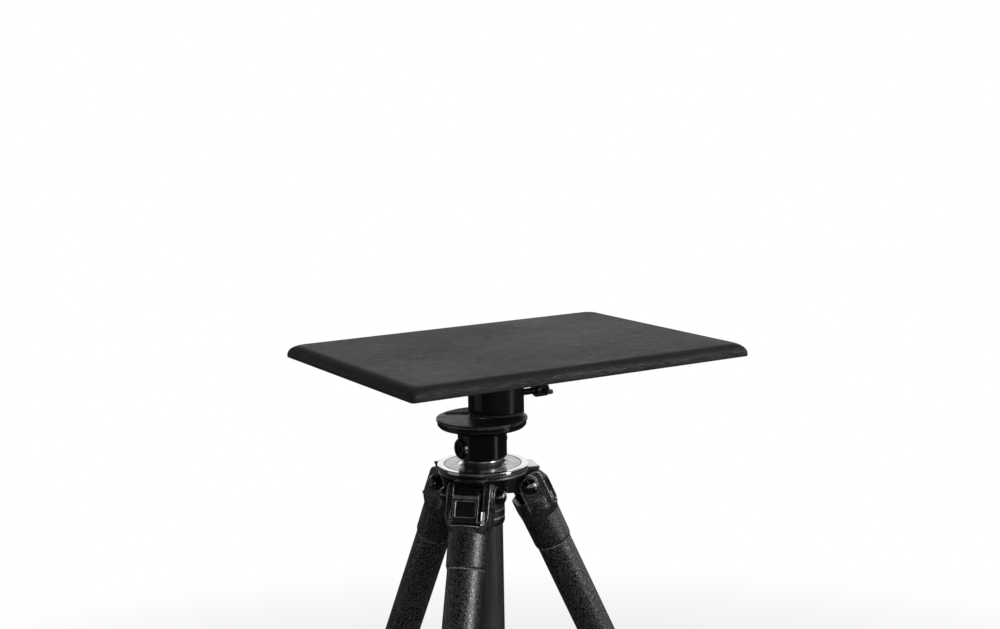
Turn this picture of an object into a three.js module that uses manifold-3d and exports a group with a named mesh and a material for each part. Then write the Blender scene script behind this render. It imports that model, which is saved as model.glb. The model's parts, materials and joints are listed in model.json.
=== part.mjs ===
// Tethering table: a wooden work board on a three-legged studio stand.
// Millimetres, +Z up, the board's front edge faces -Y. The origin is at the middle of the
// object's box, on the floor.

import * as THREE from 'three';
import { mergeVertices } from 'three/addons/utils/BufferGeometryUtils.js';
import Module from 'manifold-3d';

const wasm = await Module();
wasm.setup();

// Shared values
const fitGap = 0.3;
const overrun = 6;
const fineSides = 28;
const tubeSides = 18;
const smallSides = 12;
const quarterTurn = Math.PI / 2;
const fullTurn = Math.PI * 2;
const degreesRound = 360;
const toRadians = fullTurn / degreesRound;
const weldTolerance = 1e-4;

// Board
const boardWidth = 352;
const boardDepth = 255;
const boardThickness = 12;
const boardEdgeRound = 9.5;
const boardCornerRadius = 4;
const boardTopCornerRadius = 11;
const boardRoundSteps = 5;
const boardCornerSteps = 5;

// Receiver under the board: a round flange with a plain tube that drops over the spigot
const receiverDiameter = 53.9;
const receiverWall = 2.5;
const receiverReach = 57.3;
const receiverBehindCentre = 35.5;
const flangeDiameter = 98;
const flangeThickness = 5;
const flangeRim = 1.2;
const endRingHeight = 2.6;
const endRingLip = 1.1;
const weldNutRadius = 8;
const weldNutLength = 7;
const flangeScrewCount = 4;
const flangeScrewCircle = 78;
const flangeScrewRadius = 2.1;
const flangeScrewHeadRadius = 4.2;
const flangeScrewHeadDepth = 2.6;
const flangeScrewBite = 7;

// Wing screw through the receiver wall
const clampDrop = 44;
const clampRodRadius = 3.6;
const clampRodShow = 16.6;
const clampPadRadius = 5;
const clampPadLength = 4;
const clampPadSocketDepth = 1.6;
const clampPadSocketRadius = 2.6;
const wingHubRadius = 6.6;
const wingHubLength = 14.8;
const wingReach = 17;
const wingTipRadius = 4.4;
const wingRootRadius = 4.8;
const wingThickness = 3.6;

// Head of the column
const spigotRadius = 8;
const spigotGrooveRadius = 6.6;
const spigotGrooveLength = 9;
const spigotChamfer = 1.2;
const spigotBaseRadius = 12;
const spigotBaseHeight = 1.2;
const discRadius = 44.6;
const discThickness = 9.3;
const discLip = 2.4;
const discStep = 1.1;
const discUnderRadius = 40.5;
const discChamfer = 0.8;
const padThickness = 1.5;
const padRadius = 42;
const padChordBehindAxis = 11.5;
const padChordAngle = -34;
const neckRadius = 23.6;
const neckLength = 30;
const neckFlare = 4.2;
const neckFlareDrop = 4;
const neckChamfer = 2;
const neckBossChamfer = 1.6;
const clampBossRadius = 10.1;
const clampBossReach = 26.4;
const clampBossHeight = 11.1;
const clampBossScrewRadius = 6.2;
const guideBossRadius = 6.4;
const guideBossReach = 25.4;
const guideBossHeight = 16;
const guideBossScrewRadius = 3.6;
const neckScrewRecess = 1.6;
const neckScrewSocketDepth = 3.4;

// Column
const columnRadius = 18.5;
const columnWall = 2.2;
const columnShow = 5.8;
const columnInNeck = 18;
const columnBelowPlate = 340;
const capPlugLength = 12;
const capThickness = 4;
const capRound = 1.5;

// Top plate and leg spider
const plateRadius = 43.7;
const plateThickness = 3;
const plateHoleRadius = 21.4;
const plateHoleBevel = 2.4;
const plateGrooveRadius = 37;
const plateGrooveWidth = 1;
const plateGrooveDepth = 0.5;
const plateRimBevel = 0.6;
const bushWall = 2.3;
const bushLength = 10;
const bushRecess = 1;
const spiderFlangeRadius = 43.1;
const spiderFlangeThickness = 5.6;
const spiderFlangeGroove = 0.9;
const spiderConeRadius = 27;
const spiderConeDrop = 5;
const spiderSleeveRadius = 20.6;
const spiderSleeveDrop = 40;
const lockCollarLength = 16;
const lockCollarTaper = 1.6;
const lockCollarGroove = 0.7;

// Leg hinges
const legCount = 3;
const frontLegBearing = -135;
const legSpread = 24.2;
const hingeRadius = 39.65;
const hingeDrop = 21.6;
const lugRadius = 10.6;
const lugWidth = 28.4;
const lugToothReach = 4;
const lugToothDrop = 3.5;
const lugToothRise = 1.5;
const lugToothWidth = 18;
const lugShoulder = 6;
const hookReach = 13.6;
const hookDrop = 4.6;
const hookTipDepth = 1.8;
const hookNotchReach = 11;
const hookNotchDrop = 10;
const hingeBoltRadius = 4;
const boltHeadRadius = 7.5;
const boltHeadCylinder = 4.2;
const boltDome = 4.4;
const nutHexRadius = 7.6;

// Leg yoke, in the leg's own frame: X outward, Y along the hinge, Z up the leg
const legOffset = 2.3;
const earThickness = 6;
const earRear = 10.2;
const earFront = 15.5;
const earTop = 10;
const earCornerRadius = 6;
const earBossRadius = 9.5;
const earBossHeight = 3;
const cupRadius = 21.8;
const cupRim = 31;
const cupShoulder = 37;
const cupRearRim = 17;
const cupRearWall = 4.4;
const cupFloorThickness = 8;
const socketRadius = 19;
const socketEnd = 71;
const socketEndRadius = 18.6;
const earEnvelope = 24.4;
const earTaperTop = 23.5;

// Angle stop: a lever between the ears, pulled out by its grooved upper bar
const stopPinOut = 18.9;
const stopPinDrop = 27;
const stopPinRadius = 1.6;
const stopEyeRadius = 3.2;
const stopFace = 22.4;
const stopThickness = 5;
const stopWidth = 24.2;
const stopNoseWidth = 17;
const stopNoseTip = 11.6;
const stopNoseHeight = 6;
const stopBarTop = -2.4;
const stopBarHeight = 6.2;
const stopBarRound = 1.4;
const stopBarGrooves = 2;
const stopBarGrooveDepth = 0.5;
const stopRecessMargin = 2.4;
const stopRecessDepth = 0.7;
const stopRecessHeight = 15;

// Leg sections
const upperTubeRadius = 17.2;
const upperTubeWall = 1.5;
const upperTubeEnd = 500;
const middleTubeRadius = 14;
const middleTubeWall = 1.4;
const middleTubeLength = 460;
const middleTubeShow = 250;
const lowerTubeRadius = 11.6;
const lowerTubeWall = 1.3;
const lowerTubeLength = 440;
const lowerTubeShow = 200;
const bushSleeveLength = 32;
const tubeInSocket = 30;
const collarLength = 48;
const collarOverlap = 14;
const collarWall = 5.2;
const collarNose = 10;
const collarGroove = 0.9;
const collarGrooveWidth = 2.4;
const collarEndWall = 3.4;
const footRadius = 15;
const footNeckRadius = 13.6;
const footSkirt = 20;
const footTubeDepth = 26;
const footWear = 1.5;
const footDomeSteps = 3;

// Finishes
const paintedWood = { color: 0x1d1d1e, roughness: 0.42, metalness: 0 };
const blackEnamel = { color: 0x161617, roughness: 0.25, metalness: 0.1 };
const blackCasting = { color: 0x2a2b2c, roughness: 0.6, metalness: 0.3 };
const crackleTube = { color: 0x343536, roughness: 0.55, metalness: 0.4 };
const bareAluminium = { color: 0xd4d5d6, roughness: 0.35, metalness: 1 };
const steel = { color: 0xa9abad, roughness: 0.3, metalness: 1 };
const blackSteel = { color: 0x1b1b1c, roughness: 0.35, metalness: 0.6 };
const blackRubber = { color: 0x151515, roughness: 0.85, metalness: 0 };
const blackNylon = { color: 0x202021, roughness: 0.6, metalness: 0 };
const cork = { color: 0x4a4946, roughness: 0.9, metalness: 0 };

// Geometry helpers

// Closed triangle mesh with shared corners, no empty triangles and its faces pointing out.
function closed(geometry) {
  const plain = geometry.clone();
  plain.deleteAttribute('normal');
  plain.deleteAttribute('uv');
  const merged = mergeVertices(plain, weldTolerance);
  const position = merged.attributes.position.array;
  const index = merged.index.array;
  const triangles = [];
  let volume = 0;
  for (let i = 0; i < index.length; i += 3) {
    const [a, b, c] = [index[i], index[i + 1], index[i + 2]];
    if (a === b || b === c || c === a) continue;
    triangles.push(a, b, c);
    const corner = [a, b, c].map((k) => new THREE.Vector3().fromArray(position, 3 * k));
    volume += corner[0].dot(corner[1].clone().cross(corner[2]));
  }
  if (volume < 0) triangles.reverse();
  merged.setIndex(triangles);
  return merged;
}

function toSolid(geometry) {
  const mesh = closed(geometry);
  return new wasm.Manifold(new wasm.Mesh({
    numProp: 3,
    vertProperties: new Float32Array(mesh.attributes.position.array),
    triVerts: new Uint32Array(mesh.index.array),
  }));
}

function toGeometry(solid) {
  const mesh = solid.getMesh();
  const geometry = new THREE.BufferGeometry();
  geometry.setAttribute('position', new THREE.BufferAttribute(mesh.vertProperties.slice(), 3));
  geometry.setIndex(new THREE.BufferAttribute(mesh.triVerts.slice(), 1));
  return geometry;
}

// Body of revolution about Z from [radius, height] pairs.
function turned(profile, sides = tubeSides) {
  const points = profile.map(([radius, height]) => new THREE.Vector2(radius, height));
  return new THREE.LatheGeometry(points, sides).rotateX(quarterTurn);
}

// Ring or tube: the same, with a profile that closes on itself.
function turnedRing(profile, sides = tubeSides) {
  return turned([...profile, profile[0]], sides);
}

function rod(radius, from, to, sides = smallSides) {
  return turned([[0, from], [radius, from], [radius, to], [0, to]], sides);
}

function tube(outer, inner, from, to, sides = tubeSides) {
  return turnedRing([[inner, from], [outer, from], [outer, to], [inner, to]], sides);
}

function alongX(geometry) {
  return geometry.rotateY(quarterTurn);
}

function alongY(geometry) {
  return geometry.rotateX(-quarterTurn);
}

function block(low, high) {
  const size = high.map((value, k) => value - low[k]);
  const middle = high.map((value, k) => (value + low[k]) / 2);
  return new THREE.BoxGeometry(...size).translate(...middle);
}

// Outline in the X-Z plane, extruded along Y and centred on it.
function plateAcrossY(outline, width, curveSteps = 5) {
  const settings = { depth: width, bevelEnabled: false, curveSegments: curveSteps };
  return new THREE.ExtrudeGeometry(outline, settings)
    .translate(0, 0, -width / 2)
    .rotateX(quarterTurn);
}

// Skin over rings that all have the same number of points, closed at both ends.
function loft(rings) {
  const count = rings[0].length;
  const ends = [rings[0], rings[rings.length - 1]].map((ring) => {
    const centre = new THREE.Vector3();
    ring.forEach((point) => centre.add(point));
    return centre.divideScalar(count);
  });
  const points = [...rings.flat(), ...ends];
  const lastRing = (rings.length - 1) * count;
  const [firstCentre, lastCentre] = [points.length - 2, points.length - 1];
  const index = [];
  for (let k = 0; k < count; k += 1) {
    const next = (k + 1) % count;
    for (let ring = 0; ring < lastRing; ring += count) {
      index.push(ring + k, ring + next, ring + count + next);
      index.push(ring + k, ring + count + next, ring + count + k);
    }
    index.push(firstCentre, next, k);
    index.push(lastCentre, lastRing + k, lastRing + next);
  }
  const geometry = new THREE.BufferGeometry().setFromPoints(points);
  geometry.setIndex(index);
  return geometry;
}

function roundedRectangle(width, depth, radius, height) {
  const ring = [];
  const corners = [[1, 1], [-1, 1], [-1, -1], [1, -1]];
  corners.forEach(([signX, signY], corner) => {
    for (let step = 0; step <= boardCornerSteps; step += 1) {
      const angle = (corner + step / boardCornerSteps) * quarterTurn;
      const x = signX * (width / 2 - radius) + radius * Math.cos(angle);
      const y = signY * (depth / 2 - radius) + radius * Math.sin(angle);
      ring.push(new THREE.Vector3(x, y, height));
    }
  });
  return ring;
}

function piece(name, geometry, finish) {
  const skin = closed(geometry);
  skin.computeVertexNormals();
  const material = new THREE.MeshStandardMaterial({ ...finish, flatShading: true });
  const mesh = new THREE.Mesh(skin, material);
  mesh.name = name;
  return mesh;
}

function groupAt(x, y, z, ...members) {
  const group = new THREE.Group();
  group.position.set(x, y, z);
  group.add(...members);
  return group;
}

// Heights above the top plate's upper face
const neckBottom = columnShow;
const discBottom = neckBottom + neckLength;
const discTop = discBottom + discThickness;
const flangeBottom = discTop + padThickness + fitGap + fitGap + endRingHeight + receiverReach
  - flangeThickness;
const boardBottom = flangeBottom + flangeThickness;
const spigotTop = flangeBottom - fitGap;
const clampHeight = boardBottom - clampDrop;
const spiderTop = -plateThickness - fitGap;
const toothReach = lugRadius + lugToothReach;
const hingeHeight = -hingeDrop;

// The spigot bears on the receiver wall opposite the wing screw
const receiverOuter = receiverDiameter / 2;
const receiverInner = receiverOuter - receiverWall;
const receiverShift = receiverInner - spigotRadius - fitGap;

// Table

function board() {
  const cornerGrowth = (boardTopCornerRadius - boardCornerRadius) / boardEdgeRound;
  const rings = [roundedRectangle(boardWidth, boardDepth, boardCornerRadius, 0)];
  for (let step = 0; step <= boardRoundSteps; step += 1) {
    const angle = (step / boardRoundSteps) * quarterTurn;
    const inset = boardEdgeRound * (1 - Math.cos(angle));
    const height = boardThickness - boardEdgeRound * (1 - Math.sin(angle));
    const corner = boardCornerRadius + cornerGrowth * inset;
    rings.push(roundedRectangle(boardWidth - 2 * inset, boardDepth - 2 * inset, corner, height));
  }
  let solid = toSolid(loft(rings).translate(0, -receiverBehindCentre, 0));
  for (const [x, y] of flangeScrewPlaces()) {
    const hole = rod(flangeScrewRadius + fitGap, -overrun, flangeScrewBite + fitGap, smallSides / 2);
    solid = solid.subtract(toSolid(hole.translate(x, y, 0)));
  }
  return piece('board', toGeometry(solid), paintedWood);
}

function flangeScrewPlaces() {
  const places = [];
  for (let k = 0; k < flangeScrewCount; k += 1) {
    const angle = ((k + 1 / 2) / flangeScrewCount) * fullTurn;
    const radius = flangeScrewCircle / 2;
    places.push([radius * Math.cos(angle), radius * Math.sin(angle)]);
  }
  return places;
}

// Flange, tube and the nut welded inside its wall for the wing screw.
function receiver() {
  const top = -fitGap;
  const low = -flangeThickness;
  const flangeOuter = flangeDiameter / 2;
  let solid = toSolid(turnedRing([
    [receiverInner, -receiverReach],
    [receiverOuter, -receiverReach],
    [receiverOuter, low - flangeRim],
    [receiverOuter + flangeRim, low],
    [flangeOuter - flangeRim, low],
    [flangeOuter, low + flangeRim],
    [flangeOuter, top],
    [receiverInner, top],
  ], fineSides));
  const lid = rod(receiverInner + overrun, low, top, fineSides);
  const nut = alongX(rod(weldNutRadius, receiverInner - weldNutLength, receiverOuter - receiverWall / 2));
  solid = solid.add(toSolid(lid)).add(toSolid(nut.translate(0, 0, -clampDrop)));
  const bore = alongX(rod(clampRodRadius + fitGap, 0, receiverOuter + overrun));
  solid = solid.subtract(toSolid(bore.translate(0, 0, -clampDrop)));
  for (const [x, y] of flangeScrewPlaces()) {
    const seat = turned([
      [0, low - overrun],
      [flangeScrewHeadRadius + fitGap, low - overrun],
      [flangeScrewHeadRadius + fitGap, low + fitGap],
      [flangeScrewRadius + fitGap, low + flangeScrewHeadDepth + fitGap],
      [flangeScrewRadius + fitGap, overrun],
      [0, overrun],
    ], smallSides / 2);
    solid = solid.subtract(toSolid(seat.translate(x, y, 0)));
  }
  return piece('receiver', toGeometry(solid), blackEnamel);
}

function receiverEndRing() {
  const top = -receiverReach - fitGap;
  return piece('receiver_end_ring', turnedRing([
    [receiverInner, top - endRingHeight + fitGap],
    [receiverOuter - endRingLip, top - endRingHeight + fitGap],
    [receiverOuter, top - endRingHeight + fitGap + endRingLip],
    [receiverOuter, top],
    [receiverInner, top],
  ], fineSides), blackNylon);
}

function flangeScrews() {
  const low = -flangeThickness;
  return flangeScrewPlaces().map(([x, y], k) => {
    const screw = piece(`flange_screw_${k + 1}`, turned([
      [0, low],
      [flangeScrewHeadRadius, low],
      [flangeScrewRadius, low + flangeScrewHeadDepth],
      [flangeScrewRadius, flangeScrewBite],
      [0, flangeScrewBite],
    ], smallSides / 2), steel);
    screw.position.set(x, y, 0);
    return screw;
  });
}

// Measured from the spigot's axis along X.
const clampPadTip = spigotRadius + fitGap;
const clampPadBack = clampPadTip + clampPadLength;
const clampRodTip = clampPadBack - clampPadSocketDepth + fitGap;
const wingHubStart = receiverShift + receiverOuter + clampRodShow;

function clampPad() {
  const socketRadius = clampPadSocketRadius + fitGap;
  return piece('clamp_pad', alongX(turned([
    [0, clampPadTip],
    [clampPadRadius, clampPadTip],
    [clampPadRadius, clampPadBack],
    [socketRadius, clampPadBack],
    [socketRadius, clampPadBack - clampPadSocketDepth],
    [0, clampPadBack - clampPadSocketDepth],
  ])), blackNylon);
}

function clampScrew() {
  const rodStart = clampPadBack + fitGap;
  const rodEnd = wingHubStart + wingHubLength / 2;
  return piece('clamp_screw', alongX(turned([
    [0, clampRodTip],
    [clampPadSocketRadius, clampRodTip],
    [clampPadSocketRadius, rodStart],
    [clampRodRadius, rodStart],
    [clampRodRadius, rodEnd],
    [0, rodEnd],
  ])), blackSteel);
}

function wingKnob() {
  const hubEnd = wingHubStart + wingHubLength;
  const chamfer = wingHubRadius / 6;
  const hub = alongX(turned([
    [0, wingHubStart],
    [wingHubRadius - chamfer, wingHubStart],
    [wingHubRadius, wingHubStart + chamfer],
    [wingHubRadius, hubEnd - chamfer],
    [wingHubRadius - chamfer, hubEnd],
    [0, hubEnd],
  ], smallSides));
  const outline = new THREE.Shape();
  const wingMiddle = wingReach - wingTipRadius;
  outline.absarc(wingMiddle, 0, wingTipRadius, -quarterTurn, quarterTurn, false);
  outline.lineTo(0, wingRootRadius);
  outline.absarc(-wingMiddle, 0, wingTipRadius, quarterTurn, 3 * quarterTurn, false);
  outline.lineTo(0, -wingRootRadius);
  const wings = new THREE.ExtrudeGeometry(outline, {
    depth: wingThickness - wingThickness / 3,
    bevelThickness: wingThickness / 6,
    bevelSize: wingThickness / 6,
    bevelOffset: -wingThickness / 6,
    bevelSegments: 1,
    curveSegments: smallSides / 3,
  }).translate(0, 0, wingThickness / 6 - wingThickness / 2).rotateX(quarterTurn);
  wings.rotateY(quarterTurn).rotateX(quarterTurn);
  wings.translate(wingHubStart + wingHubLength / 2 + wingRootRadius / 4, 0, 0);
  const bore = alongX(rod(clampRodRadius + fitGap, 0, wingHubStart + wingHubLength / 2 + fitGap));
  const solid = toSolid(hub).add(toSolid(wings)).subtract(toSolid(bore));
  return piece('wing_knob', toGeometry(solid), blackNylon);
}

// Column head

function spigot() {
  const grooveTop = spigotTop - spigotGrooveLength;
  const grooveLow = grooveTop - spigotGrooveLength;
  const step = spigotRadius - spigotGrooveRadius;
  return piece('spigot', turned([
    [0, discTop + fitGap],
    [spigotBaseRadius, discTop + fitGap],
    [spigotBaseRadius, discTop + spigotBaseHeight],
    [spigotRadius, discTop + spigotBaseHeight],
    [spigotRadius, grooveLow - step],
    [spigotGrooveRadius, grooveLow],
    [spigotGrooveRadius, grooveTop],
    [spigotRadius, grooveTop + step],
    [spigotRadius, spigotTop - spigotChamfer],
    [spigotRadius - spigotChamfer, spigotTop],
    [0, spigotTop],
  ]), steel);
}

function headDisc() {
  return piece('head_disc', turned([
    [0, discBottom + fitGap],
    [discUnderRadius, discBottom + fitGap],
    [discRadius - discStep, discBottom + discThickness / 4],
    [discRadius - discStep, discTop - discLip],
    [discRadius, discTop - discLip],
    [discRadius, discTop - discChamfer],
    [discRadius - discChamfer, discTop],
    [0, discTop],
  ], fineSides), blackEnamel);
}

// Friction pad behind a straight chord of the disc.
function headPad() {
  const reach = Math.sqrt(padRadius ** 2 - padChordBehindAxis ** 2);
  const start = Math.atan2(padChordBehindAxis, reach);
  const outline = new THREE.Shape();
  outline.absarc(0, 0, padRadius, start, Math.PI - start, false);
  const chordRound = new THREE.ExtrudeGeometry(outline, {
    depth: padThickness - fitGap,
    bevelEnabled: false,
    curveSegments: fineSides / 2,
  });
  const hole = toSolid(rod(spigotBaseRadius + fitGap, -overrun, overrun + padThickness, tubeSides));
  const solid = toSolid(chordRound).subtract(hole);
  const pad = piece('head_pad', toGeometry(solid), cork);
  pad.position.z = discTop + fitGap;
  pad.rotation.z = padChordAngle * toRadians;
  return pad;
}

// Left: the boss of the screw that clamps the column. Right: the smaller one of the guide screw.
const neckBosses = [
  {
    screw: 'neck_screw_left',
    turn: Math.PI,
    radius: clampBossRadius,
    reach: clampBossReach,
    height: clampBossHeight,
    screwRadius: clampBossScrewRadius,
  },
  {
    screw: 'neck_screw_right',
    turn: 0,
    radius: guideBossRadius,
    reach: guideBossReach,
    height: guideBossHeight,
    screwRadius: guideBossScrewRadius,
  },
];

function neck() {
  const top = discBottom;
  const low = neckBottom;
  const socketRadiusHere = columnRadius + fitGap;
  const body = turned([
    [socketRadiusHere, low],
    [neckRadius - neckChamfer, low],
    [neckRadius, low + neckChamfer],
    [neckRadius, top - neckFlareDrop],
    [neckRadius + neckFlare / 3, top - neckFlareDrop / 2],
    [neckRadius + neckFlare, top],
    [0, top],
    [0, low + columnInNeck + fitGap],
    [socketRadiusHere, low + columnInNeck + fitGap],
    [socketRadiusHere, low],
  ], fineSides);
  let solid = toSolid(body);
  const root = columnRadius + fitGap + (neckRadius - columnRadius) / 2;
  for (const boss of neckBosses) {
    const pad = turned([
      [0, root],
      [boss.radius, root],
      [boss.radius, boss.reach - neckBossChamfer],
      [boss.radius - neckBossChamfer, boss.reach],
      [0, boss.reach],
    ]);
    const seat = rod(boss.screwRadius + fitGap, columnRadius / 2, boss.reach + overrun);
    const place = (shape) => toSolid(
      alongX(shape).rotateZ(boss.turn).translate(0, 0, low + boss.height));
    solid = solid.add(place(pad)).subtract(place(seat));
  }
  return piece('neck', toGeometry(solid), blackEnamel);
}

function neckScrews() {
  const tip = columnRadius + fitGap;
  return neckBosses.map((boss) => {
    const face = boss.reach - neckScrewRecess;
    const socket = boss.screwRadius / 2;
    const screw = piece(boss.screw, alongX(turned([
      [0, tip],
      [boss.screwRadius, tip],
      [boss.screwRadius, face],
      [socket, face],
      [socket, face - neckScrewSocketDepth],
      [0, face - neckScrewSocketDepth],
    ], smallSides)), blackSteel);
    screw.rotation.z = boss.turn;
    screw.position.z = neckBottom + boss.height;
    return screw;
  });
}

function columnTube() {
  const inner = columnRadius - columnWall;
  const length = tube(
    columnRadius, inner, -columnBelowPlate, neckBottom + columnInNeck, fineSides);
  return piece('column_tube', length, blackEnamel);
}

function columnCap() {
  const low = -columnBelowPlate - fitGap;
  const plug = columnRadius - columnWall - fitGap;
  return piece('column_cap', turned([
    [0, low - capThickness],
    [columnRadius - capRound, low - capThickness],
    [columnRadius, low - capThickness + capRound],
    [columnRadius, low],
    [plug, low],
    [plug, low + capPlugLength],
    [0, low + capPlugLength],
  ]), blackNylon);
}

// Spider

function topPlate() {
  const grooveIn = plateGrooveRadius - plateGrooveWidth / 2;
  const grooveOut = plateGrooveRadius + plateGrooveWidth / 2;
  return piece('top_plate', turnedRing([
    [plateHoleRadius, -plateThickness],
    [plateRadius, -plateThickness],
    [plateRadius, -plateRimBevel],
    [plateRadius - plateRimBevel, 0],
    [grooveOut, 0],
    [grooveOut, -plateGrooveDepth],
    [grooveIn, -plateGrooveDepth],
    [grooveIn, 0],
    [plateHoleRadius + plateHoleBevel, 0],
    [plateHoleRadius, -plateHoleBevel],
  ], fineSides), bareAluminium);
}

function columnBush() {
  const bore = columnRadius + fitGap;
  const top = -plateThickness + bushRecess;
  const low = top - bushLength;
  return piece('column_bush', turnedRing([
    [bore, low],
    [bore + bushWall, low],
    [bore + bushWall, top - plateHoleBevel / 2],
    [bore + bushWall - plateHoleBevel / 2, top],
    [bore, top],
  ], fineSides), blackNylon);
}

// A point of the leg's own frame, in the plane of the tripod axis and the leg.
function atHinge(outward, up) {
  const spread = legSpread * toRadians;
  return [
    hingeRadius + outward * Math.cos(spread) - up * Math.sin(spread),
    hingeHeight + outward * Math.sin(spread) + up * Math.cos(spread),
  ];
}

function spider() {
  const bore = columnRadius + fitGap;
  const bushBore = bore + bushWall + fitGap;
  const flangeLow = spiderTop - spiderFlangeThickness;
  const bushSeat = -plateThickness + bushRecess - bushLength - fitGap;
  const sleeveLow = spiderTop - spiderSleeveDrop;
  const groove = spiderFlangeGroove;
  const ridge = spiderFlangeThickness / 3;
  let solid = toSolid(turnedRing([
    [bore, sleeveLow],
    [spiderSleeveRadius, sleeveLow],
    [spiderSleeveRadius, hingeHeight],
    [spiderConeRadius, flangeLow - spiderConeDrop],
    [spiderFlangeRadius - ridge, flangeLow],
    [spiderFlangeRadius, flangeLow + ridge / 2],
    [spiderFlangeRadius, flangeLow + ridge],
    [spiderFlangeRadius - groove, flangeLow + ridge + groove / 2],
    [spiderFlangeRadius - groove, flangeLow + 2 * ridge - groove / 2],
    [spiderFlangeRadius, flangeLow + 2 * ridge],
    [spiderFlangeRadius, spiderTop],
    [bushBore, spiderTop],
    [bushBore, bushSeat],
    [bore, bushSeat],
  ], fineSides));
  const lug = toSolid(plateAcrossY(lugOutline(), lugWidth));
  const tooth = toSolid(plateAcrossY(toothOutline(), lugToothWidth));
  const pinHole = alongY(rod(hingeBoltRadius + fitGap, -lugWidth, lugWidth));
  const hole = toSolid(pinHole.translate(hingeRadius, 0, hingeHeight));
  const columnBore = toSolid(rod(bushBore, bushSeat, spiderTop + overrun, fineSides));
  const lowerBore = toSolid(rod(bore, sleeveLow - overrun, spiderTop + overrun, fineSides));
  for (let leg = 0; leg < legCount; leg += 1) {
    const bearing = frontLegBearing + (leg * degreesRound) / legCount;
    solid = solid.add(lug.add(tooth).subtract(hole).rotate([0, 0, bearing]));
  }
  solid = solid.subtract(columnBore).subtract(lowerBore);
  return piece('spider', toGeometry(solid), blackCasting);
}

// The lug with the hook above it, which caps the row of stop teeth.
function lugOutline() {
  const inner = columnRadius + spiderFlangeGroove + fitGap;
  const low = hingeHeight - lugRadius;
  const outline = new THREE.Shape();
  outline.moveTo(inner, low + lugShoulder / 2);
  outline.lineTo(hingeRadius - lugRadius - lugShoulder / 2, low + lugShoulder / 2);
  outline.lineTo(hingeRadius - lugShoulder, low + lugShoulder / 6);
  outline.absarc(hingeRadius, hingeHeight, lugRadius, -quarterTurn, 0, false);
  outline.lineTo(...atHinge(lugRadius, lugToothRise));
  outline.lineTo(hingeRadius + hookNotchReach, -hookNotchDrop);
  outline.lineTo(hingeRadius + hookReach, -hookDrop - hookTipDepth);
  outline.lineTo(hingeRadius + hookReach, -hookDrop);
  outline.lineTo(inner, -hookDrop);
  return outline;
}

// Height under a tooth on the arc that the angle stop's nose swings through.
function noseArc(outward, gap) {
  const radius = Math.hypot(stopPinOut - toothReach, stopPinDrop - lugToothDrop) - gap;
  return Math.sqrt(radius ** 2 - (stopPinOut - outward) ** 2) - stopPinDrop;
}

// Tooth on the lug, under which the angle stop's nose bears.
function toothOutline() {
  const outline = new THREE.Shape();
  outline.moveTo(...atHinge(lugRadius / 2, noseArc(stopNoseTip, 0)));
  outline.lineTo(...atHinge(stopNoseTip, noseArc(stopNoseTip, 0)));
  outline.lineTo(...atHinge(toothReach, -lugToothDrop));
  outline.lineTo(...atHinge(toothReach, lugToothRise));
  outline.lineTo(...atHinge(lugRadius / 2, lugRadius - lugToothReach / 2));
  return outline;
}

function columnLockCollar() {
  const top = spiderTop - spiderSleeveDrop - fitGap;
  const low = top - lockCollarLength;
  const bore = columnRadius + fitGap;
  const middle = (top + low) / 2;
  return piece('column_lock_collar', turnedRing([
    [bore, low],
    [spiderSleeveRadius - lockCollarTaper + fitGap, low],
    [spiderSleeveRadius, low + 2 * lockCollarTaper],
    [spiderSleeveRadius, middle - lockCollarGroove],
    [spiderSleeveRadius - lockCollarGroove, middle],
    [spiderSleeveRadius, middle + lockCollarGroove],
    [spiderSleeveRadius, top],
    [bore, top],
  ], fineSides), blackCasting);
}

// Legs, each in its own frame at the hinge

const earInner = lugWidth / 2 + fitGap;
const earOuter = earInner + earThickness;
const bossOuter = earOuter + earBossHeight;

function earOutline() {
  const outline = new THREE.Shape();
  outline.moveTo(-earRear, -cupShoulder);
  outline.lineTo(earFront, -cupShoulder);
  outline.lineTo(earFront, earTop - earCornerRadius);
  outline.absarc(
    earFront - earCornerRadius, earTop - earCornerRadius, earCornerRadius, 0, quarterTurn, false);
  outline.lineTo(earTop - earRear, earTop);
  outline.absarc(earTop - earRear, 0, earTop, quarterTurn, Math.PI, false);
  return outline;
}

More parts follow.
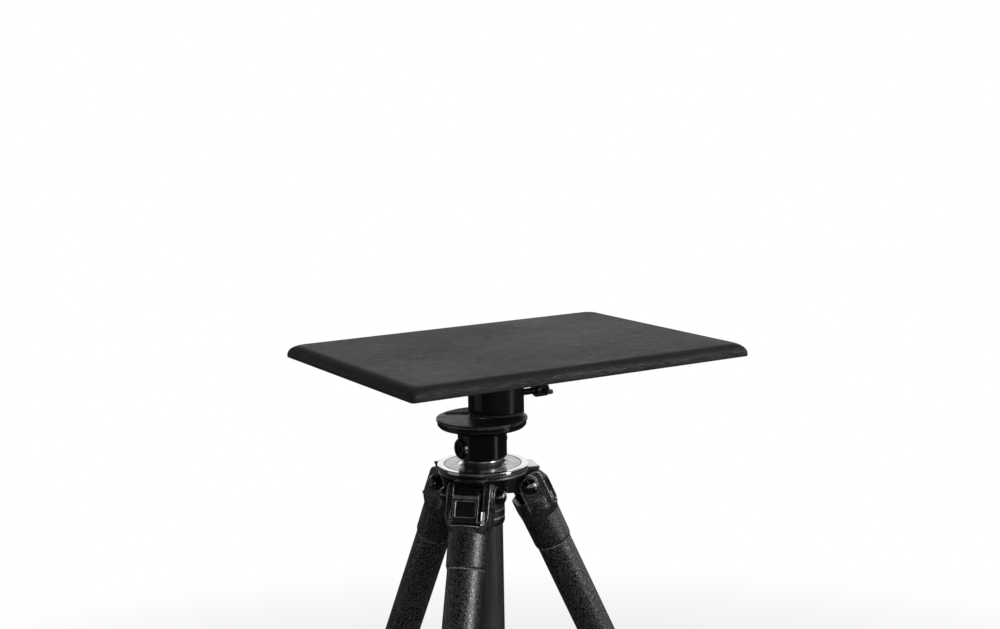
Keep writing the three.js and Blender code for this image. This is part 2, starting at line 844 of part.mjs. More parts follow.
function yoke(name) {
  const socketBore = upperTubeRadius + fitGap;
  const cup = turned([
    [socketBore, -socketEnd],
    [socketEndRadius, -socketEnd],
    [socketRadius, -cupShoulder],
    [cupRadius, -cupRim],
    [cupRadius, -cupRearRim],
    [0, -cupRearRim],
    [0, -cupRim - cupFloorThickness],
    [socketBore, -cupRim - cupFloorThickness],
    [socketBore, -socketEnd],
  ], tubeSides).translate(legOffset, 0, 0);
  const envelope = turned([
    [0, -socketEnd],
    [socketEndRadius, -socketEnd],
    [socketRadius, -cupShoulder],
    [earEnvelope, -earTaperTop],
    [earEnvelope, earTop + overrun],
    [0, earTop + overrun],
  ], tubeSides).translate(legOffset, 0, 0);
  const ears = plateAcrossY(earOutline(), 2 * earOuter);
  const wide = earEnvelope + overrun;
  const rearFace = legOffset - socketRadius;
  const frontSlot = block([rearFace + cupRearWall, -earInner, -cupRim], [wide, earInner, wide]);
  const rearSlot = block([-wide, -earInner, -cupRearRim], [wide, earInner, wide]);
  const rearCut = block([-wide, -wide, -cupShoulder], [rearFace, wide, wide]);
  const bosses = alongY(rod(earBossRadius, -bossOuter, bossOuter, tubeSides));
  const boltHole = alongY(rod(hingeBoltRadius + fitGap, -wide, wide));
  const pinHole = alongY(rod(stopPinRadius + fitGap, -wide, wide, smallSides / 2));
  let solid = toSolid(cup).add(toSolid(ears)).intersect(toSolid(envelope));
  solid = solid.add(toSolid(bosses));
  solid = solid.subtract(toSolid(tubeRoom(socketBore)));
  solid = solid.subtract(toSolid(frontSlot)).subtract(toSolid(rearSlot)).subtract(toSolid(rearCut));
  solid = solid.subtract(toSolid(boltHole));
  solid = solid.subtract(toSolid(pinHole.translate(stopPinOut, 0, -stopPinDrop)));
  return piece(name, toGeometry(solid), blackCasting);
}

function tubeRoom(radius) {
  const room = rod(radius, -socketEnd - overrun, -cupRim - cupFloorThickness, tubeSides);
  return room.translate(legOffset, 0, 0);
}

function hingeBolt(name) {
  const face = bossOuter + fitGap;
  const domeSteps = 3;
  const profile = [
    [0, -face],
    [hingeBoltRadius, -face],
    [hingeBoltRadius, face],
    [boltHeadRadius, face],
    [boltHeadRadius, face + boltHeadCylinder],
  ];
  for (let step = 1; step <= domeSteps; step += 1) {
    const angle = (step / domeSteps) * quarterTurn;
    const radius = step === domeSteps ? 0 : boltHeadRadius * Math.cos(angle);
    profile.push([radius, face + boltHeadCylinder + boltDome * Math.sin(angle)]);
  }
  return piece(name, alongY(turned(profile, smallSides)), steel);
}

function hingeNut(name) {
  const face = bossOuter + fitGap;
  const skirt = boltHeadCylinder;
  const shape = turned([
    [0, face + fitGap],
    [nutHexRadius, face + fitGap],
    [nutHexRadius, face + skirt],
    [nutHexRadius - boltDome / 3, face + skirt + boltDome / 3],
    [nutHexRadius / 2, face + skirt + boltDome - fitGap],
    [0, face + skirt + boltDome],
  ], smallSides);
  return piece(name, alongY(shape).rotateZ(Math.PI), steel);
}

function angleStop(name) {
  const inner = stopFace - stopThickness;
  const noseTop = -lugToothDrop - fitGap;
  const grooveWidth = (stopBarHeight - stopBarRound) / (stopBarGrooves + 1);
  const outline = new THREE.Shape();
  outline.moveTo(stopPinOut + stopEyeRadius, -stopPinDrop);
  outline.lineTo(stopFace, -stopPinDrop + stopEyeRadius);
  for (let k = stopBarGrooves; k > 0; k -= 1) {
    const groove = stopBarTop - stopBarRound - k * grooveWidth + grooveWidth / 2;
    outline.lineTo(stopFace, groove - grooveWidth / 3);
    outline.lineTo(stopFace - stopBarGrooveDepth, groove);
    outline.lineTo(stopFace, groove + grooveWidth / 3);
  }
  outline.absarc(
    stopFace - stopBarRound, stopBarTop - stopBarRound, stopBarRound, 0, quarterTurn, false);
  outline.lineTo(inner + stopBarRound / 2, stopBarTop);
  outline.lineTo(inner, stopBarTop - stopBarRound / 2);
  outline.lineTo(inner, noseTop);
  outline.lineTo(toothReach, noseTop);
  outline.lineTo(stopNoseTip, noseArc(stopNoseTip, fitGap));
  outline.lineTo(stopNoseTip, noseTop - stopNoseHeight / 2);
  outline.lineTo(inner - stopNoseHeight / 3, noseTop - stopNoseHeight);
  outline.lineTo(stopPinOut - stopEyeRadius, -stopPinDrop + stopEyeRadius);
  outline.absarc(stopPinOut, -stopPinDrop, stopEyeRadius, Math.PI, fullTurn, false);
  const lever = toSolid(plateAcrossY(outline, stopWidth));
  const recessTop = stopBarTop - stopBarHeight;
  const recess = block(
    [stopFace - stopRecessDepth, -stopWidth / 2 + stopRecessMargin, recessTop - stopRecessHeight],
    [stopFace + overrun, stopWidth / 2 - stopRecessMargin, recessTop]);
  const pinHole = alongY(rod(stopPinRadius + fitGap, -stopWidth, stopWidth, smallSides / 2));
  let solid = lever.subtract(toSolid(recess));
  const cheek = (stopWidth - stopNoseWidth) / 2;
  for (const side of [-1, 1]) {
    const edge = side * (stopWidth / 2 - cheek);
    const far = side * (stopWidth / 2 + overrun);
    const trim = block(
      [0, Math.min(edge, far), noseTop - stopNoseHeight - overrun],
      [inner, Math.max(edge, far), noseTop + fitGap]);
    solid = solid.subtract(toSolid(trim));
  }
  solid = solid.subtract(toSolid(pinHole.translate(stopPinOut, 0, -stopPinDrop)));
  return piece(name, toGeometry(solid), blackCasting);
}

// The pin ends flush with the tapered outside of the ears.
function stopPin(name) {
  const taper = (earEnvelope - socketRadius) / (cupShoulder - earTaperTop);
  const envelope = socketRadius + taper * (cupShoulder - stopPinDrop);
  const length = Math.sqrt(envelope ** 2 - (stopPinOut - legOffset) ** 2);
  const pin = alongY(rod(stopPinRadius, -length, length, smallSides / 2));
  return piece(name, pin.translate(stopPinOut, 0, -stopPinDrop), steel);
}

// Telescoping sections: distances down the leg from the hinge
const upperInner = upperTubeRadius - upperTubeWall;
const middleInner = middleTubeRadius - middleTubeWall;
const upperCollarTop = upperTubeEnd - collarOverlap;
const upperCollarEnd = upperCollarTop + collarLength;
const middleTubeEnd = upperCollarEnd + middleTubeShow + collarOverlap;
const lowerCollarTop = middleTubeEnd - collarOverlap;
const lowerCollarEnd = lowerCollarTop + collarLength;
const footTop = lowerCollarEnd + lowerTubeShow;
const lowerTubeEnd = footTop + footTubeDepth;
const legLength = footTop + footTubeDepth + footRadius / 2;

function upperTube(name) {
  const start = socketEnd - tubeInSocket;
  return piece(name, tube(upperTubeRadius, upperInner, -upperTubeEnd, -start), crackleTube);
}

// A thin tube with the guide bush bonded on its upper end.
function innerTube(name, radius, inner, outerBore, end, length) {
  const top = end - length;
  const bush = outerBore - fitGap;
  return piece(name, turnedRing([
    [inner, -end],
    [radius, -end],
    [radius, -top - bushSleeveLength],
    [bush, -top - bushSleeveLength + (bush - radius)],
    [bush, -top],
    [inner, -top],
  ]), crackleTube);
}

function twistCollar(name, top, tubeAbove, tubeBelow) {
  const outer = tubeAbove + collarWall;
  const upperBore = tubeAbove + fitGap;
  const lowerBore = tubeBelow + fitGap;
  const end = top + collarLength;
  const noseStart = end - collarNose;
  const gripStart = top + collarNose / 2;
  const gripMiddle = (noseStart + gripStart) / 2;
  const profile = [
    [lowerBore, -end],
    [lowerBore + collarEndWall, -end],
    [outer, -noseStart],
    [outer, -gripMiddle - collarGrooveWidth],
    [outer - collarGroove, -gripMiddle],
    [outer, -gripMiddle + collarGrooveWidth],
    [outer, -gripStart],
    [upperBore + collarWall / 2, -top],
    [upperBore, -top],
    [upperBore, -top - collarOverlap - fitGap],
    [lowerBore, -top - collarOverlap - fitGap],
  ];
  return piece(name, turnedRing(profile), blackRubber);
}

// Rubber tip over the lower tube, worn flat where it meets the floor.
function foot(name) {
  const bore = lowerTubeRadius + fitGap;
  const domeCentre = legLength;
  const profile = [[0, -lowerTubeEnd - fitGap], [bore, -lowerTubeEnd - fitGap], [bore, -footTop]];
  profile.push([footNeckRadius, -footTop]);
  profile.push([footNeckRadius, -footTop - footSkirt]);
  profile.push([footRadius, -footTop - footSkirt - footRadius / 3]);
  for (let step = 0; step <= footDomeSteps; step += 1) {
    const angle = (step / footDomeSteps) * quarterTurn;
    const radius = step === footDomeSteps ? 0 : footRadius * Math.cos(angle);
    profile.push([radius, -domeCentre - footRadius * Math.sin(angle)]);
  }
  const reach = footRadius + overrun;
  const below = block([-reach, -reach, -reach - footRadius], [reach, reach, footWear - footRadius]);
  below.rotateY(legSpread * toRadians).translate(0, 0, -domeCentre);
  const solid = toSolid(turned(profile)).subtract(toSolid(below));
  return piece(name, toGeometry(solid), blackRubber);
}

function leg(number) {
  const hinge = groupAt(hingeRadius, 0, hingeHeight,
    yoke(`yoke_${number}`),
    hingeBolt(`hinge_bolt_${number}`),
    hingeNut(`hinge_nut_${number}`),
    angleStop(`angle_stop_${number}`),
    stopPin(`stop_pin_${number}`));
  hinge.add(groupAt(legOffset, 0, 0,
    upperTube(`upper_tube_${number}`),
    twistCollar(`upper_collar_${number}`, upperCollarTop, upperTubeRadius, middleTubeRadius),
    innerTube(`middle_tube_${number}`, middleTubeRadius, middleInner, upperInner,
      middleTubeEnd, middleTubeLength),
    twistCollar(`lower_collar_${number}`, lowerCollarTop, middleTubeRadius, lowerTubeRadius),
    innerTube(`lower_tube_${number}`, lowerTubeRadius, lowerTubeRadius - lowerTubeWall,
      middleInner, lowerTubeEnd, lowerTubeLength),
    foot(`foot_${number}`)));
  hinge.rotation.y = -legSpread * toRadians;
  const whole = groupAt(0, 0, 0, hinge);
  whole.rotation.z = (frontLegBearing + ((number - 1) * degreesRound) / legCount) * toRadians;
  return whole;
}

// Assembly

const table = groupAt(receiverShift, 0, boardBottom,
  board(), receiver(), receiverEndRing(), ...flangeScrews());
const clamp = groupAt(0, 0, clampHeight, clampPad(), clampScrew(), wingKnob());
const head = groupAt(0, 0, 0,
  spigot(), headDisc(), headPad(), neck(), ...neckScrews(), columnTube(), columnCap());
const crown = groupAt(0, 0, 0, topPlate(), columnBush(), spider(), columnLockCollar());
const stand = groupAt(0, 0, 0, table, clamp, head, crown);
for (let number = 1; number <= legCount; number += 1) {
  stand.add(leg(number));
}
stand.updateMatrixWorld(true);
const bounds = new THREE.Box3().setFromObject(stand, true);
const middle = bounds.getCenter(new THREE.Vector3());
stand.position.set(-middle.x, -middle.y, -bounds.min.z);

const group = new THREE.Group();
group.add(stand);
group.updateMatrixWorld(true);

export default group;
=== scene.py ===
"""Tethering table: the looks of a wooden work board on a three-legged studio stand.

Pieces are made in millimetres in the frame of the CAD piece that they stand for, and are placed
in the row frame in metres. Names that end in _R are radii.
"""

import json
from math import asin, atan2, cos, hypot, pi, radians, sin, tan, tau

import bmesh
import bpy
from mathutils import Matrix, Vector


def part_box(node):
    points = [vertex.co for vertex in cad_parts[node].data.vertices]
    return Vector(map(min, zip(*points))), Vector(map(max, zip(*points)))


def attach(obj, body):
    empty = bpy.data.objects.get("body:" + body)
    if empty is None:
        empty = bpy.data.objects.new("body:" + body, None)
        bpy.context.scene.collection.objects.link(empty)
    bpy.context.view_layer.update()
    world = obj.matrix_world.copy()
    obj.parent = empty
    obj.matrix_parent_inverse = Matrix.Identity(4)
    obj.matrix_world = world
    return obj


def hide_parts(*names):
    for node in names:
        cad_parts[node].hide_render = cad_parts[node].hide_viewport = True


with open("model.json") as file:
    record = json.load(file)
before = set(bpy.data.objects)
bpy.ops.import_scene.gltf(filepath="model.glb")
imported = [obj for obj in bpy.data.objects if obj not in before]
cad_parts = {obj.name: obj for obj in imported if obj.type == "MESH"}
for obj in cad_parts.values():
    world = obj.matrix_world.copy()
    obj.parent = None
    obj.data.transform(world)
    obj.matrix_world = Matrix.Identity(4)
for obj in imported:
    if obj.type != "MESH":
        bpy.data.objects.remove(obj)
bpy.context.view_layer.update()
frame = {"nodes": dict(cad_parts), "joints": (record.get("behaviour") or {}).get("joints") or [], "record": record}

MM = 0.001
BODIES = frame["record"]["behaviour"]["bodies"]
BODY_OF = {node: body for body, nodes in BODIES.items() for node in nodes}
SLOT_OF = {entry["node"]: entry["material_slot"] for entry in frame["record"]["subparts"]}
JOINTS = {joint["name"]: joint for joint in frame["joints"]}
LEGS = (1, 2, 3)


def in_mm(x, y, z):
    """The frame of a piece that is made in millimetres round a point in metres."""
    return Matrix.Translation((x, y, z)) @ Matrix.Scale(MM, 4)


# Places that pieces are made in
AXIS = Vector(JOINTS["table_pan"]["pos_m"])
PLATE_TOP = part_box("top_plate")[1].z
STAND = in_mm(AXIS.x, AXIS.y, PLATE_TOP)

# Turn of the head pad, and height of the lugs' hooks, which the materials need too
PAD_TURN = radians(-34)
HOOK_TOP = -4.6


def mm_above_plate(height):
    """A row height in millimetres above the top plate's upper face."""
    return (height - PLATE_TOP) / MM


def heights(node):
    low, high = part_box(node)
    return mm_above_plate(low.z), mm_above_plate(high.z)


def middle_of(node):
    low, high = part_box(node)
    return (low + high) / 2


def leg_place(leg):
    """The leg's own frame: X outward, Y along the hinge, Z up the leg, origin at the hinge."""
    hinge = JOINTS[f"leg_{leg}_fold"]
    up = Vector(JOINTS[f"middle_{leg}_slide"]["axis"])
    across = Vector(hinge["axis"])
    out = across.cross(up)
    turn = Matrix((out, across, up)).transposed().to_4x4()
    return Matrix.Translation(hinge["pos_m"]) @ turn @ Matrix.Scale(MM, 4)


# Mesh tools

ROUND_STEPS = 5
CORNER_SHARE = 0.48
FINE = 128
ROUND = 96
CREASE = 38
OPERATIONS = {"add": "UNION", "cut": "DIFFERENCE", "keep": "INTERSECT"}


def shown_as(name, data):
    """A new object of the scene for a mesh, a lamp or a camera."""
    made = bpy.data.objects.new(name, data)
    bpy.context.scene.collection.objects.link(made)
    return made


def finish_piece(name, node, mesh, material, sharp):
    """Shows a mesh in the stead of a CAD node; edges sharper than `sharp` degrees stay crisp."""
    mesh.validate()
    mesh.shade_smooth()
    shown = shown_as(name, mesh)
    mesh.materials.clear()
    mesh.materials.append(material)
    if sharp:
        mesh.set_sharp_from_angle(angle=radians(sharp))
        normals = shown.modifiers.new("normals", "WEIGHTED_NORMAL")
        normals.keep_sharp = True
    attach(shown, BODY_OF[node])
    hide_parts(node)


def soften(profile, closed):
    """Rounds the corners of a profile of (radius, height, rounding) points."""
    count = len(profile)
    out = []
    for k, corner in enumerate(profile):
        here = Vector(corner[:2])
        rounding = corner[2] if len(corner) > 2 else 0
        if rounding == 0 or (not closed and k in (0, count - 1)):
            out.append(tuple(here))
            continue
        before = Vector(profile[k - 1][:2]) - here
        after = Vector(profile[(k + 1) % count][:2]) - here
        half = before.angle(after) / 2
        back = min(rounding / tan(half), before.length * CORNER_SHARE,
                   after.length * CORNER_SHARE)
        start = here + before.normalized() * back
        end = here + after.normalized() * back
        radius = back * tan(half)
        centre = here + (before.normalized() + after.normalized()).normalized() * (
            radius / sin(half))
        first = atan2(*(start - centre).yx)
        sweep = atan2(*(end - centre).yx) - first
        sweep = (sweep + pi) % tau - pi
        for step in range(ROUND_STEPS + 1):
            angle = first + sweep * step / ROUND_STEPS
            out.append((centre.x + radius * cos(angle), centre.y + radius * sin(angle)))
    return out


def turned(profile, sides=ROUND, closed=False):
    """Points and faces of a body of revolution about Z. An open profile ends on the axis."""
    points, rings = [], []
    for radius, height in soften(profile, closed):
        if radius < 1e-6:
            rings.append([len(points)] * sides)
            points.append((0, 0, height))
            continue
        rings.append(list(range(len(points), len(points) + sides)))
        for k in range(sides):
            angle = tau * k / sides
            points.append((radius * cos(angle), radius * sin(angle), height))
    pairs = list(zip(rings, rings[1:]))
    if closed:
        pairs.append((rings[-1], rings[0]))
    faces = []
    for low, high in pairs:
        for k in range(sides):
            after = (k + 1) % sides
            corners = [low[k], low[after], high[after], high[k]]
            face = [c for i, c in enumerate(corners) if c not in corners[:i]]
            if len(face) > 2:
                faces.append(face)
    return points, faces


def holed(profile):
    """A body of revolution with a hole, at the fine step."""
    return turned(profile, FINE, closed=True)


def rod(radius, low, high, sides=ROUND, rounding=0.4):
    return turned([(0, low), (radius, low, rounding), (radius, high, rounding), (0, high)], sides)


def tube(outer, inner, low, high, sides=ROUND):
    corners = ((inner, low), (outer, low), (outer, high), (inner, high))
    return turned([(r, z, 0.3) for r, z in corners], sides, closed=True)


ALONG_X = Matrix.Rotation(pi / 2, 4, "Y")
ALONG_Y = Matrix.Rotation(-pi / 2, 4, "X")


def extruded(outline, low, high):
    """Points and faces of an outline in the X-Z plane, extruded along Y."""
    count = len(outline)
    points = [(x, low, z) for x, z in outline] + [(x, high, z) for x, z in outline]
    faces = [list(range(count)), list(range(2 * count - 1, count - 1, -1))]
    for k in range(count):
        after = (k + 1) % count
        faces.append([after, k, k + count, after + count])
    return points, faces


def block(low, high):
    outline = [(low[0], low[2]), (high[0], low[2]), (high[0], high[2]), (low[0], high[2])]
    return extruded(outline, low[1], high[1])


def arc(centre_x, centre_z, radius, first, last, steps=12):
    """Points of an arc in the X-Z plane, from one angle to another in degrees."""
    angles = [radians(first + (last - first) * k / steps) for k in range(steps + 1)]
    return [(centre_x + radius * cos(a), centre_z + radius * sin(a)) for a in angles]


def moved(shape, move):
    """The same shape with its points moved by a matrix or a vector."""
    points, faces = shape
    if isinstance(move, tuple):
        move = Matrix.Translation(move)
    return [tuple(move @ Vector(p)) for p in points], faces


def skinned(rings):
    """A skin over rings that all have the same number of points, closed at both ends."""
    count = len(rings[0])
    points = [point for ring in rings for point in ring]
    faces = [list(range(count))[::-1]]
    for level in range(len(rings) - 1):
        for k in range(count):
            after = (k + 1) % count
            low, high = level * count, (level + 1) * count
            faces.append([low + k, low + after, high + after, high + k])
    last = (len(rings) - 1) * count
    faces.append(list(range(last, last + count)))
    return points, faces


def temporary(shape):
    """An object for the booleans, with its faces turned outward."""
    mesh = bpy.data.meshes.new("temporary")
    mesh.from_pydata(shape[0], [], shape[1])
    work = bmesh.new()
    work.from_mesh(mesh)
    bmesh.ops.remove_doubles(work, verts=work.verts, dist=1e-4)
    bmesh.ops.recalc_face_normals(work, faces=work.faces)
    work.to_mesh(mesh)
    work.free()
    return shown_as("temporary", mesh)


def evaluated(base):
    """The mesh of an object after its modifiers."""
    bpy.context.view_layer.update()
    shown = base.evaluated_get(bpy.context.evaluated_depsgraph_get())
    return bpy.data.meshes.new_from_object(shown)


def combined(start, *steps):
    """Joins and cuts shapes: each step is ("add" or "cut" or "keep", shape)."""
    base = temporary(start)
    tools = []
    for word, shape in steps:
        tool = temporary(shape)
        tools.append(tool)
        modifier = base.modifiers.new(word, "BOOLEAN")
        modifier.operation = OPERATIONS[word]
        modifier.object = tool
        modifier.solver = "EXACT"
    mesh = evaluated(base)
    for extra in [base, *tools]:
        bpy.data.objects.remove(extra)
    mesh.materials.clear()
    return mesh


def cast(mesh, voxel, smoothing):
    """A casting's soft edges: the solid is remeshed evenly in metres, smoothed and thinned."""
    mesh.transform(Matrix.Scale(MM, 4))
    base = shown_as("casting", mesh)
    remesh = base.modifiers.new("remesh", "REMESH")
    remesh.mode = "VOXEL"
    remesh.voxel_size = voxel
    smooth = base.modifiers.new("smooth", "SMOOTH")
    smooth.factor = 0.5
    smooth.iterations = smoothing
    base.modifiers.new("thin", "DECIMATE").ratio = 0.5
    result = evaluated(base)
    bpy.data.objects.remove(base)
    return result


# Materials


class Nodes:
    """The nodes of a material or of the world. Inputs take numbers and sockets alike."""

    def __init__(self, tree):
        self.tree = tree

    def link(self, start, end):
        self.tree.links.new(start, end)

    def new(self, kind, inputs=(), **settings):
        """A shader node with its settings, and with the inputs given by name or number."""
        node = self.tree.nodes.new("ShaderNode" + kind)
        for name, value in settings.items():
            setattr(node, name, value)
        for key, value in dict(inputs).items():
            if isinstance(value, bpy.types.NodeSocket):
                self.link(value, node.inputs[key])
            else:
                node.inputs[key].default_value = value
        return node

    def maths(self, operation, first, second=0):
        node = self.new("Math", {0: first, 1: second}, operation=operation)
        return node.outputs["Value"]

    def times(self, first, second):
        return self.maths("MULTIPLY", first, second)

    def plus(self, first, second):
        return self.maths("ADD", first, second)

    def vectors(self, operation, first, second=(0, 0, 0)):
        """The outputs of a sum on vectors, "Vector" and "Value"."""
        node = self.new("VectorMath", {0: first, 1: second}, operation=operation)
        return node.outputs

    def parts(self, vector):
        """X, Y and Z of a vector."""
        return self.new("SeparateXYZ", {0: vector}).outputs

    def steps(self, value, low, high, start=0, end=1, curve="LINEAR"):
        """Maps low..high of a value to start..end, and stops there."""
        inputs = {
            "Value": value, "From Min": low, "From Max": high, "To Min": start, "To Max": end}
        node = self.new("MapRange", inputs, interpolation_type=curve)
        return node.outputs["Result"]

    def light_path(self):
        """The kinds of ray, and 1 for what is looked at, straight or through glass."""
        paths = self.new("LightPath").outputs
        return paths, self.maths("MAXIMUM", paths["Is Camera Ray"], paths["Is Transmission Ray"])


class Surface(Nodes):
    """A procedural material: one Principled shader and the nodes that feed it."""

    def __init__(self, name, specular=0.5, metallic=0, roughness=0.5):
        self.material = bpy.data.materials.new(name)
        self.material.use_nodes = True
        super().__init__(self.material.node_tree)
        self.shader = self.tree.nodes["Principled BSDF"]
        self.place = self.new("TexCoord").outputs["Object"]
        for key, value in (
                ("Specular IOR Level", specular), ("Metallic", metallic), ("Roughness", roughness)):
            self.shader.inputs[key].default_value = value

    def stretched(self, x, y, z, vector=None):
        inputs = {"Scale": (x, y, z), "Vector": vector or self.place}
        return self.new("Mapping", inputs).outputs["Vector"]

    def noise(self, scale, detail, roughness=0.55, vector=None, distortion=0):
        inputs = {
            "Scale": scale, "Detail": detail, "Roughness": roughness, "Distortion": distortion,
            "Vector": vector or self.place}
        return self.new("TexNoise", inputs).outputs["Fac"]

    def cells(self, scale, feature="F1"):
        inputs = {"Scale": scale, "Vector": self.place}
        return self.new("TexVoronoi", inputs, feature=feature).outputs["Distance"]

    def mixed(self, share, first, second):
        """A colour between two others; each may be a grey level, a colour or a socket."""
        inputs = {"Factor": share}
        for key, value in ((6, first), (7, second)):
            if isinstance(value, float):
                value = (value, value, value)
            inputs[key] = (*value, 1) if isinstance(value, tuple) else value
        return self.new("Mix", inputs, data_type="RGBA").outputs[2]

    def worn_edges(self, radius):
        """1 on edges, 0 on flats: the smoothed normal turns away from the true one there."""
        smooth = self.new("Bevel", {"Radius": radius}, samples=6).outputs["Normal"]
        true = self.new("NewGeometry").outputs["Normal"]
        return self.maths("SUBTRACT", 1, self.vectors("DOT_PRODUCT", smooth, true)["Value"])

    def rubbed(self, radius, low, high, patches, thin, full):
        """Edges that are rubbed bare, but only in the patches of a noise."""
        return self.times(
            self.steps(self.worn_edges(radius), low, high), self.steps(patches, thin, full))

    def bump(self, height, distance, strength):
        inputs = {"Strength": strength, "Distance": distance, "Height": height}
        return self.new("Bump", inputs).outputs["Normal"]

    def done(self, colour, roughness, normal, metallic=None):
        self.link(colour, self.shader.inputs["Base Color"])
        self.link(roughness, self.shader.inputs["Roughness"])
        self.link(normal, self.shader.inputs["Normal"])
        if metallic:
            self.link(metallic, self.shader.inputs["Metallic"])
        return self.material


# Middle and half width of the plate's dark rings, in metres
DARK_RINGS = ((0.037, 0.00065), (0.0239, 0.0005))
# Direction of the front leg, where the spider's bare metal is darkened as painted shade
FRONT_LEG = (-0.707, -0.707, 0)


def painted_wood():
    """Satin black paint that shows the grain along X, rubbed a little at the edges."""
    m = Surface("painted_wood", 0.22)
    grain_space = m.stretched(1, 14, 14)
    pores = m.noise(95, 8, 0.62, grain_space, 0.6)
    streaks = m.noise(22, 5, 0.5, grain_space, 1.2)
    clouds = m.noise(7, 3)
    open_pores = m.steps(pores, 0.36, 0.5)
    base = m.mixed(m.steps(streaks, 0.35, 0.68), 0.005, 0.012)
    base = m.mixed(open_pores, 0.003, base)
    edges = m.rubbed(0.0016, 0.01, 0.12, pores, 0.36, 0.58)
    colour = m.mixed(edges, base, 0.06)
    gloss = m.plus(m.steps(clouds, 0.3, 0.7, 0.42, 0.52), m.steps(pores, 0.3, 0.6, 0.1, 0))
    height = m.plus(open_pores, m.times(streaks, 0.8))
    return m.done(colour, gloss, m.bump(height, 0.00022, 0.75))


def black_enamel():
    """Gloss black enamel with a little orange peel and dust."""
    m = Surface("black_enamel", 0.45)
    peel = m.noise(420, 2, 0.5)
    dust = m.noise(2600, 2, 0.6)
    smears = m.noise(38, 4, 0.6)
    colour = m.mixed(m.steps(dust, 0.66, 0.74), 0.0018, 0.012)
    edges = m.rubbed(0.0009, 0.02, 0.12, smears, 0.4, 0.6)
    colour = m.mixed(edges, colour, 0.1)
    gloss = m.steps(smears, 0.3, 0.7, 0.13, 0.24)
    return m.done(colour, gloss, m.bump(peel, 0.00005, 0.5))


def pebbly_paint(m):
    """The worn patches, the colour and the relief of a die casting's paint."""
    pebbles = m.noise(900, 3, 0.6)
    lumps = m.noise(180, 3, 0.5)
    patches = m.noise(60, 5, 0.6)
    paint = m.mixed(m.steps(lumps, 0.35, 0.7), 0.002, 0.007)
    return patches, paint, m.plus(pebbles, m.times(lumps, 1.4))


def black_casting():
    """Painted die casting: pebbly paint, worn through to the metal on its edges."""
    m = Surface("black_casting")
    patches, paint, relief = pebbly_paint(m)
    edges = m.rubbed(0.0012, 0.015, 0.08, patches, 0.34, 0.5)
    colour = m.mixed(edges, paint, 0.7)
    gloss = m.plus(m.steps(patches, 0.3, 0.7, 0.26, 0.4), m.times(edges, 0.05))
    return m.done(colour, gloss, m.bump(relief, 0.00013, 0.8), m.times(edges, 0.9))


def hammered(name, worn):
    """Hammered paint with metal flake: smooth dark dimples in a bright net; on castings the
    edges are worn."""
    m = Surface(name, 0.55)
    dimples = m.cells(620, "SMOOTH_F1")
    coarse = m.noise(330, 3, 0.6)
    fine = m.noise(1500, 3, 0.65)
    patches = m.noise(45, 4, 0.6)
    flakes = m.times(m.steps(dimples, 0.32, 0.62), m.steps(fine, 0.46, 0.58))
    colour = m.mixed(flakes, 0.0015, 0.14 if worn else 0.19)
    metal = m.times(flakes, 0.97)
    if worn:
        edges = m.rubbed(0.0013, 0.01, 0.06, patches, 0.32, 0.46)
        colour = m.mixed(edges, colour, 0.8)
        metal = m.maths("MAXIMUM", metal, m.times(edges, 0.9))
    gloss = m.plus(m.steps(fine, 0.35, 0.65, 0.13, 0.28), m.steps(patches, 0.3, 0.7, -0.03, 0.05))
    height = m.plus(dimples, m.plus(m.times(coarse, 1.2), m.times(fine, 0.9)))
    return m.done(colour, gloss, m.bump(height, 0.00018, 0.9), metal)


def satin_column():
    """The column's tube: black satin coat, drawn along its length and rubbed by the clamps."""
    m = Surface("satin_column", 0.45)
    drawn = m.noise(420, 3, 0.6, m.stretched(1, 1, 0.03))
    patches = m.noise(40, 4, 0.6)
    colour = m.mixed(m.steps(drawn, 0.35, 0.68), 0.01, 0.026)
    return m.done(colour, m.steps(patches, 0.3, 0.7, 0.34, 0.46), m.bump(drawn, 0.00006, 0.5))


def from_axis(m):
    """The distance of a point from the column's axis, and its place relative to the axis."""
    offset = m.vectors("SUBTRACT", m.place, AXIS)["Vector"]
    flat = m.stretched(1, 1, 0, offset)
    return m.vectors("LENGTH", flat)["Value"], flat


def bare_aluminium():
    """Turned aluminium: a clean outer band, a dull scuffed face inside the groove, and near-black
    rings in the groove and round the hole."""
    m = Surface("bare_aluminium", metallic=1)
    radius, _ = from_axis(m)
    spread = m.new("CombineXYZ", {"X": m.times(radius, 2600)})
    rings = m.noise(1, 3, 0.7, spread.outputs["Vector"])
    grain = m.noise(1300, 4, 0.7)
    stains = m.noise(120, 5, 0.65)
    inside = m.steps(radius, 0.0368, 0.0372, 1, 0)
    bright = m.mixed(m.steps(grain, 0.4, 0.62), 0.74, 0.9)
    dull = m.mixed(m.steps(stains, 0.36, 0.6), 0.34, 0.58)
    dull = m.mixed(m.steps(grain, 0.38, 0.54), 0.2, dull)
    colour = m.mixed(inside, bright, dull)
    # Near-black rings laid on the groove and on the hole's edge
    for middle, half in DARK_RINGS:
        off = m.maths("ABSOLUTE", m.maths("SUBTRACT", radius, middle))
        colour = m.mixed(m.steps(off, half * 0.6, half, 1, 0), colour, 0.025)
    bevel = m.steps(radius, 0.0234, 0.0236, 1, 0)
    colour = m.mixed(bevel, colour, 0.9)
    gloss = m.plus(m.steps(rings, 0.3, 0.7, 0.06, 0.13), m.times(inside, 0.1))
    return m.done(colour, gloss, m.bump(m.plus(rings, grain), 0.00002, 0.5))


